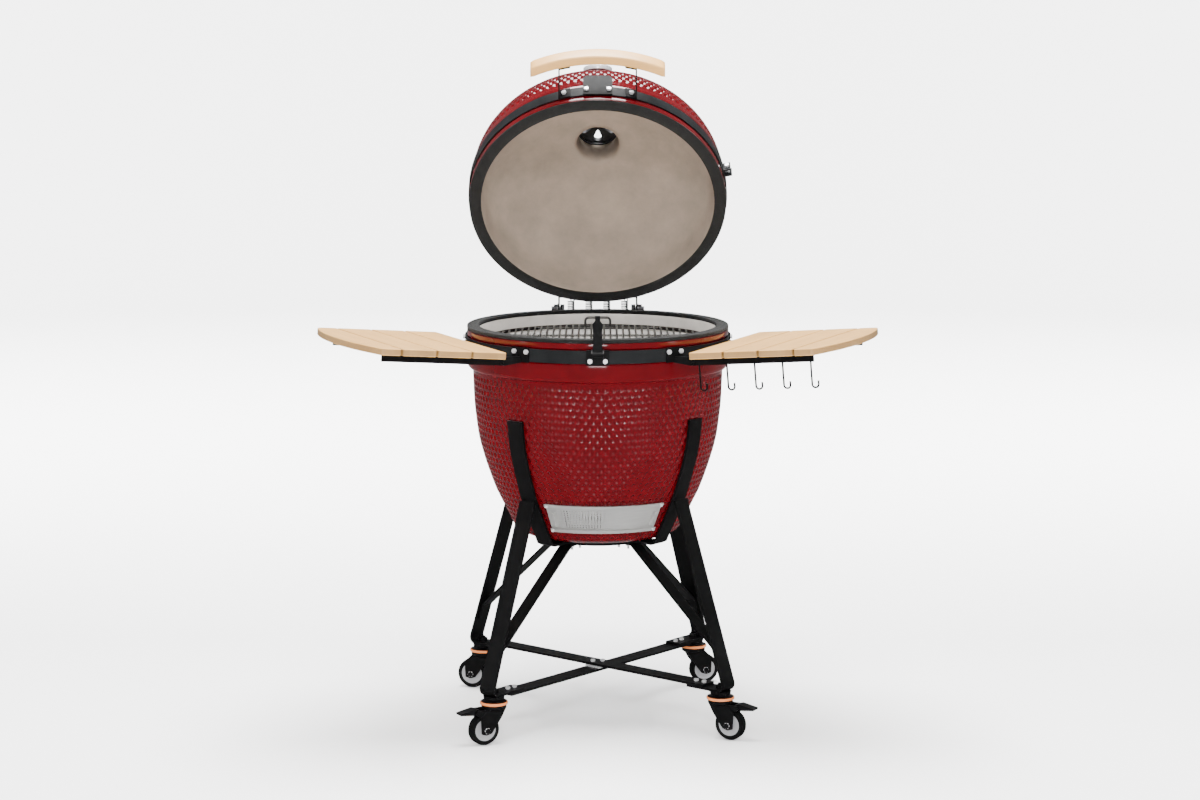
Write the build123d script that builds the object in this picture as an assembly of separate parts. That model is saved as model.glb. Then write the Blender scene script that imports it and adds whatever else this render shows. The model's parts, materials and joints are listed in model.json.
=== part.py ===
"""Ceramic kamado charcoal grill on a wheeled flat-bar stand, with its lid open.

Millimetres, +Z up, front towards -Y, origin on the floor below the bowl's upright axis.
The lid is modelled closed and then swung open about its hinge. One STEP file per sub-part.
"""
from build123d import *
from math import acos, asin, cos, degrees, radians, sin, sqrt
import os

# ---- driving dimensions: whole object
RIM_R = 320.0             # outer radius of both rims
WALL_R = 290.0            # inner radius of both rims
RIM_Z = 967.0             # top of the bowl's ceramic rim
BASE_FELT = 9.0           # thickness of the bowl's felt gasket
LID_FELT = 4.0            # and of the lid's
SEAM = 0.3                # running gap between pieces of different bodies
LID_Z = RIM_Z + BASE_FELT + LID_FELT   # underside of the lid's ceramic rim when closed
LID_OPEN = 55.66          # degrees the stored lid stands open
HINGE_Y = 340.0           # lid hinge axis, along X
HINGE_Z = 975.0
STAND_TURN = 5.0          # the stand is turned a little about Z under the bowl
DOOR_TURN = 4.0           # and so is the draft door
FRONT = 270.0 + DOOR_TURN     # azimuth of the draft door's middle

# ---- bowl
FLOOR_Z = 457.0           # underside of the bowl
FOOT_R = 130.0            # flat underside radius
CONE_LOW = (206.0, 482.0)     # (radius, height) where the straight draft zone starts
CONE_TOP = (250.0, 570.0)     # and ends
BELLY = [(264.0, 607.0), (279.0, 652.0), (291.0, 697.0), (298.0, 742.0), (303.0, 790.0), (305.0, 835.0)]
STEP = (306.0, 869.0)         # top of the dimpled skin
SHOULDER = [(312.0, 871.0), (318.0, 877.0), (320.0, 885.0)]
INNER_FLOOR = 482.0       # upper face of the bowl's floor
INNER_FOOT_R = 110.0      # its flat radius
MOUTH = (170.0, 140.0, 42.0)  # draft mouth cut through the wall
MOUTH_AT = (0.0, -220.0, 531.0)
CONE_RUN = (0.447, 0, 0.894)  # direction of the straight zone, upwards
BOWL_IN = [(288.0, 920.0), (279.0, 860.0), (272.0, 780.0), (266.0, 730.0), (250.0, 670.0),
           (232.0, 610.0), (215.0, 560.0), (190.0, 502.0), (160.0, 484.0)]

# ---- steel bands
BAND_T = 2.5
BAND_H = 31.0
BASE_BAND_Z = 919.0       # lower edge of the bowl's band
LID_BAND_Z = LID_Z + 19.0
SEAT_R = RIM_R + BAND_T + 0.1   # inner face of every foot bolted to a band
FOOT_T = 3.0              # sheet thickness of those feet
BOLT_R = 6.0              # corner radius of their bolt heads
BOLT_H = 5.0

# ---- lid
DOME_R = 316.0            # dimpled dome, just inside the smooth collar
DOME_Z = LID_Z + 75.0     # centre of the outer dome's ellipse
DOME_RISE = 218.0
COLLAR_TOP = LID_Z + 71.0
DOME_IN_Z = LID_Z + 60.0
DOME_IN_RISE = 183.0
NECK_R = 75.0
BORE_R = 55.0
NECK_TOP = LID_Z + 310.0

# ---- shelves
SHELF_TILT = 5.0
SHELF_AZ = {"left": 205.0, "right": 335.0}
PIVOT_U = 322.0           # fold axis, measured out from the bowl's axis
PIVOT_Z = 921.0
ARM_V = 165.0             # half spacing of the two arms
ARM_DEPTH = 20.0
ARM_T = 5.0
SLAT_T = 16.0
SHELF_IN = 340.0
SHELF_OUT = 685.0
SHELF_CORNER = 650.0
SHELF_HALF = 222.0
SLATS = 4
SLAT_PITCH = 87.5
SLAT_GAP = 5.0
ARM_END = SHELF_CORNER - 22.0
FOLD_PIN_R = 4.0
HOOK_FIRST = 340.0
HOOK_PITCH = 70.0
HOOKS = 5
HOOK_R = 2.2
HOOK_DROP = 60.0
HOOK_W = 16.0
HOOK_BEND = 7.5
EAR_V = 5.0               # half spacing of a bracket's ears

# ---- stand
BAR_W = 46.0
BAR_T = 6.0
STEM_R = 386.0            # caster stems, out from the axis
STEM_SHANK_R = 6.0
TAB_Z = 120.0             # middle of the horizontal caster tabs
LEG_TOP = (CONE_TOP[0] + 11.0, CONE_TOP[1] - 1.0)
ANKLE = (414.0, TAB_Z)
LEG_BEND = 14.0
TAB_IN = 300.0
STRUT_FOOT = 205.0        # height where a strut meets its leg

# ---- casters
WHEEL_R = 37.5
WHEEL_W = 25.0
TRAIL = 28.0
AXLE_R = 4.0
PIN_GAP = 0.05            # radial running clearance on every pin
CASTER_AZ = [209.0, 331.0, 15.0, 165.0]   # rest headings: front left, front right, back right, back left
LEG_AZ = [225.0, 315.0, 45.0, 135.0]
CORNERS = ["front_left", "front_right", "back_right", "back_left"]

parts = {}


# ---- helpers
def rz(x, z):
    """A point on the upright X-Z half plane, x being the radius."""
    return (x, 0, z)


def turned(points, sweep=360.0, start=0.0):
    """Solid of revolution about Z of a closed (radius, height) outline."""
    face = make_face(Polyline(*[rz(*p) for p in points], close=True))
    return Rot(0, 0, start) * revolve(face, Axis.Z, sweep)


def arc_wall(r_in, r_out, z_low, z_high, middle, half, centre_y=0.0):
    """Piece of an upright tube wall, centred on one azimuth."""
    outline = [(r_in, z_low), (r_out, z_low), (r_out, z_high), (r_in, z_high)]
    return Pos(0, centre_y, 0) * turned(outline, 2 * half, middle - half)


def rod(radius, start, end):
    """Round bar between two points."""
    a, b = Vector(*start), Vector(*end)
    plane = Plane(origin=a, z_dir=b - a)
    return extrude(plane * Circle(radius), (b - a).length)


def wire(radius, points, bend):
    """Round wire along straight runs with rounded corners."""
    path = FilletPolyline(*points, radius=bend)
    return sweep(Plane(origin=path @ 0, z_dir=path % 0) * Circle(radius), path=path)


def side_plate(x_low, x_high, points, holes=()):
    """Upright plate in the Y-Z plane; holes are (y, z, radius)."""
    face = make_face(Polyline(*[(x_low, y, z) for y, z in points], close=True))
    plate = extrude(face, x_high - x_low, dir=(1, 0, 0))
    for y, z, radius in holes:
        plate -= rod(radius, (x_low - 1, y, z), (x_high + 1, y, z))
    return plate


def flat_bar(points, thickness, width, bend):
    """Flat bar lying along (radius, height) points, its width across the radial plane."""
    path = FilletPolyline(*[rz(*p) for p in points], radius=bend)
    section = Plane(origin=path @ 0, x_dir=(0, 1, 0), z_dir=path % 0) * Rectangle(width, thickness)
    return sweep(section, path=path)


def hex_head(radius, height, start, direction):
    """Six-sided bolt head or nut standing on a point."""
    return extrude(Plane(origin=start, z_dir=direction) * RegularPolygon(radius, 6), height)


def opened(shape):
    """Swing a closed-lid shape to the stored open position."""
    return shape.rotate(Axis((0, HINGE_Y, HINGE_Z), (1, 0, 0)), -LID_OPEN)


def radial(azimuth, radius, z):
    return (radius * cos(radians(azimuth)), radius * sin(radians(azimuth)), z)


# ---- bowl
def bowl():
    step = rz(*STEP)
    inner_foot = rz(INNER_FOOT_R, INNER_FLOOR)
    belly = Spline(rz(*CONE_TOP), *[rz(*p) for p in BELLY], step, tangents=(CONE_RUN, (0, 0, 1)))
    skin = Polyline(step, *[rz(*p) for p in SHOULDER], rz(RIM_R, RIM_Z), rz(WALL_R, RIM_Z))
    inside = Spline(rz(WALL_R, RIM_Z), *[rz(*p) for p in BOWL_IN], inner_foot,
                    tangents=((0, 0, -1), (-1, 0, 0)))
    base = Polyline(inner_foot, rz(0, INNER_FLOOR), rz(0, FLOOR_Z), rz(FOOT_R, FLOOR_Z))
    low = Spline(rz(FOOT_R, FLOOR_Z), rz(*CONE_LOW), tangents=((1, 0, 0.05), CONE_RUN))
    cone = Line(rz(*CONE_LOW), rz(*CONE_TOP))
    body = revolve(make_face([belly, skin, inside, base, low, cone]), Axis.Z, 360)
    return body - Rot(0, 0, DOOR_TURN) * Pos(*MOUTH_AT) * Box(*MOUTH)


parts["bowl"] = bowl()
felt_top = RIM_Z + BASE_FELT - SEAM / 2
parts["base_gasket"] = turned([(WALL_R, RIM_Z), (RIM_R, RIM_Z), (RIM_R, felt_top), (WALL_R, felt_top)])
parts["base_band"] = arc_wall(RIM_R, RIM_R + BAND_T, BASE_BAND_Z, BASE_BAND_Z + BAND_H, 0, 180)

# ---- fire clay inside the bowl: box, wall panels, ring and the cast grate between them
BOX_Z = 508.0             # underside of the fire box, over the bowl's floor
BOX_R = 183.0
BOX_FLOOR = 526.0         # upper face of its floor
BOX_FLOOR_R = 150.0
LEDGE_Z = 586.0           # the charcoal grate lies on this ledge
LEDGE_R = 165.0
FIRE_R = 186.0            # radius of the fire space at the ledge
FIRE_OUT = 206.0          # outer radius there
FIRE_TOP = 757.0
FIRE_TOP_R = (236.0, 258.0)
RING_TOP = 933.0          # the cooking grate rests here
RING_R = (240.0, 272.0)
PANELS = 5
PANEL_GAP = 1.2           # degrees between two panels
AIR_HOLE_R = 9.0
AIR_HOLE_Z = 640.0
NOTCH = (120.0, 120.0, 46.0)   # ash way through the box, behind the draft mouth
NOTCH_AT = (0.0, -160.0, 545.0)
GRATE_T = 11.0
SLOT_W = 12.0
SLOT_STEP = 32.0


def fire_box():
    box = turned([(0, BOX_Z), (BOX_R, BOX_Z), (FIRE_OUT, LEDGE_Z), (LEDGE_R, LEDGE_Z),
                  (BOX_FLOOR_R, BOX_FLOOR), (0, BOX_FLOOR)])
    return box - Rot(0, 0, DOOR_TURN) * Pos(*NOTCH_AT) * Box(*NOTCH)


def fire_box_panels():
    """Wall of the fire box in loose panels, each with two air holes."""
    panels = []
    span = 360 / PANELS
    top_in, top_out = FIRE_TOP_R
    outline = [(FIRE_R, LEDGE_Z), (FIRE_OUT, LEDGE_Z), (top_out, FIRE_TOP), (top_in, FIRE_TOP)]
    for k in range(PANELS):
        panel = turned(outline, span - PANEL_GAP, FRONT + span * (k - 0.5) + PANEL_GAP / 2)
        for at in (FRONT + span * (k - 0.25), FRONT + span * (k + 0.25)):
            panel -= rod(AIR_HOLE_R, radial(at, BOX_FLOOR_R, AIR_HOLE_Z), radial(at, RING_R[1], AIR_HOLE_Z))
        panels.append(panel)
    return Compound(panels)


def fire_ring():
    inner, outer = RING_R
    low_in, low_out = FIRE_TOP_R
    return turned([(low_in, FIRE_TOP), (low_out, FIRE_TOP), (low_out + 4, 800), (low_out + 4, 880),
                   (outer, RING_TOP), (inner, RING_TOP), (inner, 800)])


def charcoal_grate():
    plate = Pos(0, 0, LEDGE_Z + GRATE_T / 2) * Cylinder(FIRE_R - 8, GRATE_T)
    for k in range(-4, 5):
        half = sqrt(BOX_FLOOR_R ** 2 - (SLOT_STEP * k) ** 2)
        plate -= Pos(SLOT_STEP * k, 0, LEDGE_Z) * Box(SLOT_W, 2 * half - 14, 4 * GRATE_T)
    return plate - Pos(0, 0, LEDGE_Z) * Cylinder(8, 4 * GRATE_T)


parts["fire_box"] = fire_box()
parts["fire_box_panels"] = fire_box_panels()
parts["fire_ring"] = fire_ring()
parts["charcoal_grate"] = charcoal_grate()

# ---- cooking grate, resting on the fire ring
GRATE_R = 281.0
GRATE_Z = 937.6
GRATE_WIRE = 4.0
GRATE_PITCH = 15.8
GRATE_ROWS = 17
BAR_R = 2.5
CROSS_R = 3.0
CROSS_Y = 80.0
LOOP_Y = 235.0
LOOP_HALF = 2 * GRATE_PITCH
LOOP_H = 22.0
LOOP_BEND = 9.0


def cooking_grate():
    ring = Pos(0, 0, GRATE_Z) * Torus(GRATE_R, GRATE_WIRE)
    bars = []
    for k in range(-GRATE_ROWS, GRATE_ROWS + 1):
        x = GRATE_PITCH * k
        half = sqrt(GRATE_R ** 2 - x ** 2)
        bars.append(rod(BAR_R, (x, -half, GRATE_Z + 1), (x, half, GRATE_Z + 1)))
    for y in (-LOOP_Y, -CROSS_Y, CROSS_Y, LOOP_Y):
        half = sqrt(GRATE_R ** 2 - y ** 2)
        bars.append(rod(CROSS_R, (-half, y, GRATE_Z - 0.5), (half, y, GRATE_Z - 0.5)))
    return ring.fuse(*bars)


def grate_handles():
    """Two wire loops standing on the grate, to lift it by."""
    foot = GRATE_Z + 1 + BAR_R + 0.1
    loops = []
    for y in (-LOOP_Y, LOOP_Y):
        route = [(-LOOP_HALF, y, foot), (-LOOP_HALF, y, foot + LOOP_H), (LOOP_HALF, y, foot + LOOP_H),
                 (LOOP_HALF, y, foot)]
        loops.append(wire(CROSS_R, route, LOOP_BEND))
    return Compound(loops)


parts["cooking_grate"] = cooking_grate()
parts["grate_handles"] = grate_handles()

# ---- draft door: frame, sliding screen and sliding door on the bowl's cone
CONE_SLOPE = (CONE_TOP[0] - CONE_LOW[0]) / (CONE_TOP[1] - CONE_LOW[1])
FRAME_Z = (495.0, 567.0)
FRAME_HALF = 34.2         # degrees either side of the middle
PANEL_Z = (501.5, 560.5)  # both sliding panels
PANEL_T = 1.4
PANEL_END = 30.5          # degrees from the middle to a panel's outer edge
SCREEN_LAP = 2.0          # degrees that the screen runs under the door
SCREEN_OFF = 2.6          # distance of the screen from the bowl's cone
DOOR_OFF = 5.0            # and of the door
RAIL_OFF = (2.2, 7.8)     # rails above and below the panels, and the lips over them
LIP_OFF = 9.0
LIP_LAP = 2.0
WINDOW = (24.0, 509.0, 553.0)  # half angle, and heights of the frame's opening
TAB_LEVEL = (512.0, 548.0)
TAB_OUT = 19.0
HOLE_R = 1.6
HOLE_ROWS = 9
HOLE_COLUMNS = 14
HOLE_STEP = 5.3
HOLE_TURN = 1.75
SCREW_R = 3.5
SCREW_TURN = 32.6


def cone_radius(z):
    return CONE_LOW[0] + CONE_SLOPE * (z - CONE_LOW[1])


def cone_wall(near, far, z_low, z_high, start, end):
    """Piece of a conical sheet between two distances from the bowl's straight zone, degrees from FRONT."""
    low, high = cone_radius(z_low), cone_radius(z_high)
    outline = [(low + near, z_low), (low + far, z_low), (high + far, z_high), (high + near, z_high)]
    return turned(outline, end - start, FRONT + start)


def draft_frame():
    half, window_low, window_high = WINDOW
    plate = cone_wall(0.2, RAIL_OFF[0], *FRAME_Z, -FRAME_HALF, FRAME_HALF)
    plate -= cone_wall(-5, LIP_OFF, window_low, window_high, -half, half)
    rails = ((FRAME_Z[0], PANEL_Z[0] - SEAM), (PANEL_Z[1] + SEAM, FRAME_Z[1]))
    lips = ((FRAME_Z[0], PANEL_Z[0] + LIP_LAP), (PANEL_Z[1] - LIP_LAP, FRAME_Z[1]))
    for spans, offsets in ((rails, RAIL_OFF), (lips, (RAIL_OFF[1], LIP_OFF))):
        for span in spans:
            plate += cone_wall(*offsets, *span, -FRAME_HALF, FRAME_HALF)
    return plate


def draft_tab(at):
    """Bent finger tab standing out from a sliding panel."""
    return cone_wall(DOOR_OFF + 1, TAB_OUT, *TAB_LEVEL, at - 0.5, at + 0.5)


def draft_screen():
    sheet = cone_wall(SCREEN_OFF, SCREEN_OFF + PANEL_T, *PANEL_Z, -PANEL_END, SCREEN_LAP)
    for column in range(HOLE_COLUMNS):
        for row in range(HOLE_ROWS):
            z = 510.0 + HOLE_STEP * row
            at = FRONT - 25.0 + HOLE_TURN * column
            sheet -= rod(HOLE_R, radial(at, 205, z), radial(at, 260, z))
    sheet += cone_wall(SCREEN_OFF, DOOR_OFF + 1.8, *TAB_LEVEL, -29.6, -28.4)
    return sheet + draft_tab(-29.0)


def draft_screw(side, z):
    """Screw head square to the frame's conical face."""
    radius = cone_radius(z) + LIP_OFF + 0.05
    azimuth = FRONT + side * SCREW_TURN
    out = 2.7
    return rod(SCREW_R, radial(azimuth, radius, z), radial(azimuth, radius + out, z - out * CONE_SLOPE))


parts["draft_frame"] = draft_frame()
parts["draft_screen"] = draft_screen()
parts["draft_door"] = cone_wall(DOOR_OFF, DOOR_OFF + PANEL_T, *PANEL_Z, 0.0, PANEL_END) + draft_tab(29.2)
draft_screws = [draft_screw(side, z) for side in (-1, 1) for z in (499.0, 562.5)]


# ---- lid
def dome_curve(radius, rise, centre_z, end_r):
    """Quarter ellipse from its widest point up to the radius end_r, and the height it reaches."""
    last = acos(end_r / radius)
    turns = [last * k / 8 for k in range(9)]
    curve = Spline(*[rz(radius * cos(t), centre_z + rise * sin(t)) for t in turns])
    return curve, centre_z + rise * sin(last)


def lid():
    skin = Polyline(rz(WALL_R, LID_Z), rz(RIM_R, LID_Z), rz(RIM_R, COLLAR_TOP), rz(DOME_R, DOME_Z))
    dome, top_z = dome_curve(DOME_R, DOME_RISE, DOME_Z, NECK_R)
    neck = Polyline(rz(NECK_R, top_z), rz(NECK_R, NECK_TOP), rz(BORE_R, NECK_TOP))
    inner, bore_z = dome_curve(WALL_R, DOME_IN_RISE, DOME_IN_Z, BORE_R)
    bore = Line(rz(BORE_R, NECK_TOP), rz(BORE_R, bore_z))
    rise = Line(rz(WALL_R, DOME_IN_Z), rz(WALL_R, LID_Z))
    return revolve(make_face([skin, dome, neck, bore, inner, rise]), Axis.Z, 360)


parts["lid"] = opened(lid())
lid_felt_low = LID_Z - LID_FELT + SEAM / 2
parts["lid_gasket"] = opened(turned([(WALL_R, lid_felt_low), (RIM_R, lid_felt_low), (RIM_R, LID_Z),
                                     (WALL_R, LID_Z)]))
parts["lid_band"] = opened(arc_wall(RIM_R, RIM_R + BAND_T, LID_BAND_Z, LID_BAND_Z + BAND_H, 0, 180))

# ---- chimney vent on the neck: collar, swinging cap and daisy wheel
VENT_R = 84.0
COLLAR_BELOW = 20.0       # the collar laps the neck by this much
COLLAR_ABOVE = 7.0
COLLAR_BORE = 52.0
CAP_T = 7.0
CAP_PIN_Y = 74.0
CAP_PIN_R = 5.0
CAP_Z = NECK_TOP + COLLAR_ABOVE + SEAM
DAISY_Z = CAP_Z + CAP_T + SEAM
DAISY_R = 62.0
DAISY_T = 5.0
DAISY_PIN_R = 4.0
KNOB = (46.0, 54.0, 17.0) # inner and outer radius of the finger knob, and its height
PETALS = 5
PETAL_TURN = 18.0


def petals(z_low, z_high):
    """Teardrop openings round a vent plate."""
    drop = make_hull([*(Pos(37, 0) * Circle(11)).edges(), *(Pos(15, 0) * Circle(2.5)).edges()])
    tool = Pos(0, 0, z_low) * extrude(drop, z_high - z_low)
    return [Rot(0, 0, PETAL_TURN + 360 / PETALS * k) * tool for k in range(PETALS)]


def ring_plate(r_in, r_out, z_low, thickness):
    return turned([(r_in, z_low), (r_out, z_low), (r_out, z_low + thickness), (r_in, z_low + thickness)])


def vent_collar():
    low, high = NECK_TOP - COLLAR_BELOW, NECK_TOP + COLLAR_ABOVE
    collar = turned([(NECK_R, low), (VENT_R, low), (VENT_R, high), (COLLAR_BORE, high),
                     (COLLAR_BORE, NECK_TOP), (NECK_R, NECK_TOP)])
    return collar + rod(CAP_PIN_R, (0, CAP_PIN_Y, NECK_TOP + 1), (0, CAP_PIN_Y, CAP_Z + CAP_T))


def vent_cap():
    cap = ring_plate(0, VENT_R, CAP_Z, CAP_T)
    cap -= Pos(0, CAP_PIN_Y, CAP_Z) * Cylinder(CAP_PIN_R + PIN_GAP, 40)
    cap += ring_plate(0, DAISY_PIN_R, CAP_Z, DAISY_Z + DAISY_T + 1 - CAP_Z)
    for drop in petals(CAP_Z - 1, CAP_Z + CAP_T + 1):
        cap -= drop
    return cap


def daisy_wheel():
    wheel = ring_plate(DAISY_PIN_R + PIN_GAP, DAISY_R, DAISY_Z, DAISY_T)
    for drop in petals(DAISY_Z - 1, DAISY_Z + DAISY_T + 1):
        wheel -= drop
    r_in, r_out, height = KNOB
    low, high = DAISY_Z + DAISY_T - 1, DAISY_Z + height
    return wheel + turned([(r_in, low), (r_out, low), (r_out, high), (r_in, high)], 12, -96)


parts["vent_collar"] = opened(vent_collar())
parts["vent_cap"] = opened(vent_cap())
parts["daisy_wheel"] = opened(daisy_wheel())

# ---- handle on two bracket plates
HANDLE_R = 380.0          # outer radius of its bend
HANDLE_REACH = 413.0      # its furthest point from the bowl's axis
HANDLE_CY = HANDLE_R - HANDLE_REACH
HANDLE_W = 26.0
HANDLE_Z = (LID_Z + 48.0, LID_Z + 83.0)
HANDLE_HALF = 163.0
HANDLE_EASE = 5.0
BRACKET_X = 95.0          # outer face of each bracket plate
FOOT_X = 67.0             # inner end of its foot and pad
BRACKET_FOOT = (LID_Z + 17.0, LID_Z + 50.0)
BRACKET_PAD = (LID_Z + 50.0, LID_Z + 78.0)


def handle():
    bar = arc_wall(HANDLE_R - HANDLE_W, HANDLE_R, *HANDLE_Z, 270, 30, HANDLE_CY)
    bar = fillet(bar.edges().filter_by(GeomType.CIRCLE), HANDLE_EASE)
    return bar & Pos(0, -HANDLE_REACH, LID_Z) * Box(2 * HANDLE_HALF, 300, 300)


def angles_of(radius):
    """Middle azimuth from the front, and half angle, of a sheet from FOOT_X to BRACKET_X."""
    outer, inner = degrees(asin(BRACKET_X / radius)), degrees(asin(FOOT_X / radius))
    return (outer + inner) / 2, (outer - inner) / 2


def handle_bracket(side):
    pad_r = HANDLE_R - HANDLE_W - 0.1
    root_y = -sqrt(SEAT_R ** 2 - (BRACKET_X - FOOT_T) ** 2)
    tip_y = HANDLE_CY - sqrt(pad_r ** 2 - BRACKET_X ** 2)
    foot_low, foot_high = BRACKET_FOOT
    pad_low, pad_high = BRACKET_PAD
    outline = [(root_y, foot_low), (root_y - 14, foot_low), (tip_y, pad_low - 4), (tip_y, pad_high),
               (tip_y + 12, pad_high), (root_y, foot_high)]
    x_low, x_high = sorted((side * BRACKET_X, side * (BRACKET_X - FOOT_T)))
    at, half = angles_of(SEAT_R + FOOT_T)
    foot = arc_wall(SEAT_R, SEAT_R + FOOT_T, foot_low, foot_high, 270 + side * at, half)
    at, half = angles_of(pad_r)
    pad = arc_wall(pad_r - FOOT_T, pad_r, pad_low, pad_high, 270 + side * at, half, HANDLE_CY)
    return side_plate(x_low, x_high, outline) + foot + pad


parts["handle"] = opened(handle())
parts["handle_brackets"] = opened(Compound([handle_bracket(-1), handle_bracket(1)]))

# ---- catch plate on the lid, latch on the bowl
CATCH_T = 4.0
CATCH_Z = LID_Z + 15.0
LATCH_Y = -336.0          # the lever's pin, along X
LATCH_Z = 943.0
LATCH_PIN_R = 3.0
LATCH_EAR_X = 13.5
LEVER_HALF = 11.0
LEVER_T = 6.0


def front_plate(points, thickness):
    """Plate facing the front, from (x, z) points, its back face in the X-Z plane."""
    return Rot(90, 0, 0) * extrude(make_face(Polyline(*points, close=True)), thickness)


def catch_plate():
    outline = [(-35.5, 0), (35.5, 0), (35.5, 67), (27.5, 75), (-27.5, 75), (-35.5, 67)]
    return Pos(0, -SEAT_R, CATCH_Z) * front_plate(outline, CATCH_T)


def latch_base():
    foot = Pos(0, -(SEAT_R + FOOT_T / 2), 934) * Box(54, FOOT_T, 36)
    face = -(SEAT_R + FOOT_T - 0.1)
    for side in (-1, 1):
        ear = [(face, 930), (face, 954), (LATCH_Y, LATCH_Z + 9), (LATCH_Y - 7, LATCH_Z + 3),
               (LATCH_Y - 7, LATCH_Z - 3), (LATCH_Y, LATCH_Z - 9)]
        foot += side_plate(side * LATCH_EAR_X - FOOT_T / 2, side * LATCH_EAR_X + FOOT_T / 2, ear)
    return foot + rod(LATCH_PIN_R, (-13, LATCH_Y, LATCH_Z), (13, LATCH_Y, LATCH_Z))


def latch_lever():
    half = LEVER_HALF
    blade = [(-half, -8), (half, -8), (half, 73), (6, 80), (6, 91), (-6, 91), (-6, 80), (-half, 73)]
    lever = Pos(0, LATCH_Y + LEVER_T / 2, LATCH_Z) * front_plate(blade, LEVER_T)
    lever += rod(6.5, (-half, LATCH_Y, LATCH_Z), (half, LATCH_Y, LATCH_Z))
    return lever - rod(LATCH_PIN_R + PIN_GAP, (-20, LATCH_Y, LATCH_Z), (20, LATCH_Y, LATCH_Z))


parts["catch_plate"] = opened(catch_plate())
parts["latch_base"] = latch_base()
parts["latch_lever"] = latch_lever()

# ---- rear hinge with its two pivots and the counterbalance springs
EAR_X = (92.0, 96.0)      # bowl side ears
WING_X = (98.0, 102.0)    # lid side wings
PIVOT_R = 5.0
PIVOT_X = (86.0, 119.0)
NUT_R = 10.0
WASHER_R = 12.0
SPRING_Y = 373.0
SPRING_TOP = (376.0, 1003.0)   # bars that the springs hook on, lid side and bowl side
SPRING_LOW = (372.0, 868.0)
SPRING_BAR_R = 5.0
SPRING_CLEAR = (8.0, 12.0)     # coils end this far from the bars
SPRING_X = [-69.0, -23.0, 23.0, 69.0]
SPRING_R = 10.0
SPRING_BORE = 7.0


def hinge_base():
    half = degrees(asin(EAR_X[1] / (SEAT_R + FOOT_T)))
    piece = arc_wall(SEAT_R, SEAT_R + FOOT_T, 912, 955, 90, half)
    ear = [(311, 914), (311, 955), (331, 981), (336, 985), (344, 985), (350, 978), (353, 958), (381, 880),
           (381, 860), (364, 860), (345, 900)]
    for side in (-1, 1):
        low, high = sorted(side * x for x in EAR_X)
        piece += side_plate(low, high, ear, [(HINGE_Y, HINGE_Z, PIVOT_R)])
    return piece + rod(SPRING_BAR_R, (-EAR_X[0], *SPRING_LOW), (EAR_X[0], *SPRING_LOW))


def lid_hinge():
    """Closed-lid shape; its spring bar is swung back from where it stands with the lid open."""
    half = degrees(asin(WING_X[1] / (SEAT_R + FOOT_T)))
    piece = arc_wall(SEAT_R, SEAT_R + FOOT_T, LID_BAND_Z - 4, LID_BAND_Z + BAND_H + 3, 90, half)
    swing = radians(LID_OPEN)
    dy, dz = SPRING_TOP[0] - HINGE_Y, SPRING_TOP[1] - HINGE_Z
    bar = (HINGE_Y + dy * cos(swing) - dz * sin(swing), HINGE_Z + dy * sin(swing) + dz * cos(swing))
    wing = [(309, 996), (309, 1029), (338, 1031), (350, 1022), (355, 1008), (351, 985), (347, 966),
            (333, 966), (330, 975), (330, 990)]
    for side in (-1, 1):
        low, high = sorted(side * x for x in WING_X)
        piece += side_plate(low, high, wing, [(HINGE_Y, HINGE_Z, PIVOT_R + PIN_GAP)])
    return piece + rod(SPRING_BAR_R, (-WING_X[0], *bar), (WING_X[0], *bar))


def hinge_pivot(side):
    """Pivot bolt with its head inside the ear, and washer and nut outside the wing."""
    def at(x):
        return (side * x, HINGE_Y, HINGE_Z)
    outward = (side, 0, 0)
    bolt = rod(PIVOT_R, at(PIVOT_X[0]), at(PIVOT_X[1]))
    bolt += hex_head(NUT_R, 6, at(PIVOT_X[0] - 0.2), outward)
    bolt += rod(WASHER_R, at(WING_X[1] + SEAM), at(WING_X[1] + 2))
    return bolt + hex_head(NUT_R, 9, at(WING_X[1] + 2), outward)


def hinge_spring(x):
    low, high = SPRING_LOW[1] + SPRING_CLEAR[0], SPRING_TOP[1] - SPRING_CLEAR[1]
    return Pos(x, SPRING_Y, 0) * ring_plate(SPRING_BORE, SPRING_R, low, high - low)


parts["hinge_base"] = hinge_base()
parts["lid_hinge"] = opened(lid_hinge())
parts["hinge_pivots"] = Compound([hinge_pivot(-1), hinge_pivot(1)])
parts["hinge_springs"] = Compound([hinge_spring(x) for x in SPRING_X])

# ---- thermometer on the dome's front
THERMO_A = 42.0           # ellipse angle of its seat
THERMO_R = 36.0
THERMO_NECK_R = 18.0
THERMO_OFF = (1.0, 4.0, 16.0)  # distances from the dome of the neck, the dial and its face


def thermometer():
    y = -DOME_R * cos(radians(THERMO_A))
    z = DOME_Z + DOME_RISE * sin(radians(THERMO_A))
    normal = Vector(0, y / DOME_R ** 2, (z - DOME_Z) / DOME_RISE ** 2).normalized()
    seat = Plane(origin=(0, y, z), z_dir=normal)
    neck, low, high = THERMO_OFF
    body = extrude(seat.offset(neck) * Circle(THERMO_NECK_R), low + 1 - neck)
    return body + extrude(seat.offset(low) * Circle(THERMO_R), high - low)


parts["thermometer"] = opened(thermometer())

# ---- bolts on the two bands, and the clamp that draws each band together
BOLT_SEAT = SEAT_R + FOOT_T + 0.1
LUG_X = 9.0               # half spacing of a clamp's ears
LUG_T = 4.0
LUG_REACH = 17.8
CLAMP_R = 3.0
CLAMP_OUT = 13.0


def band_bolt(azimuth, z):
    start = radial(azimuth, BOLT_SEAT, z)
    return hex_head(BOLT_R, BOLT_H, start, (start[0], start[1], 0))


def front_bolt(x, y, z):
    return hex_head(BOLT_R, BOLT_H, (x, -y, z), (0, -1, 0))


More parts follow.
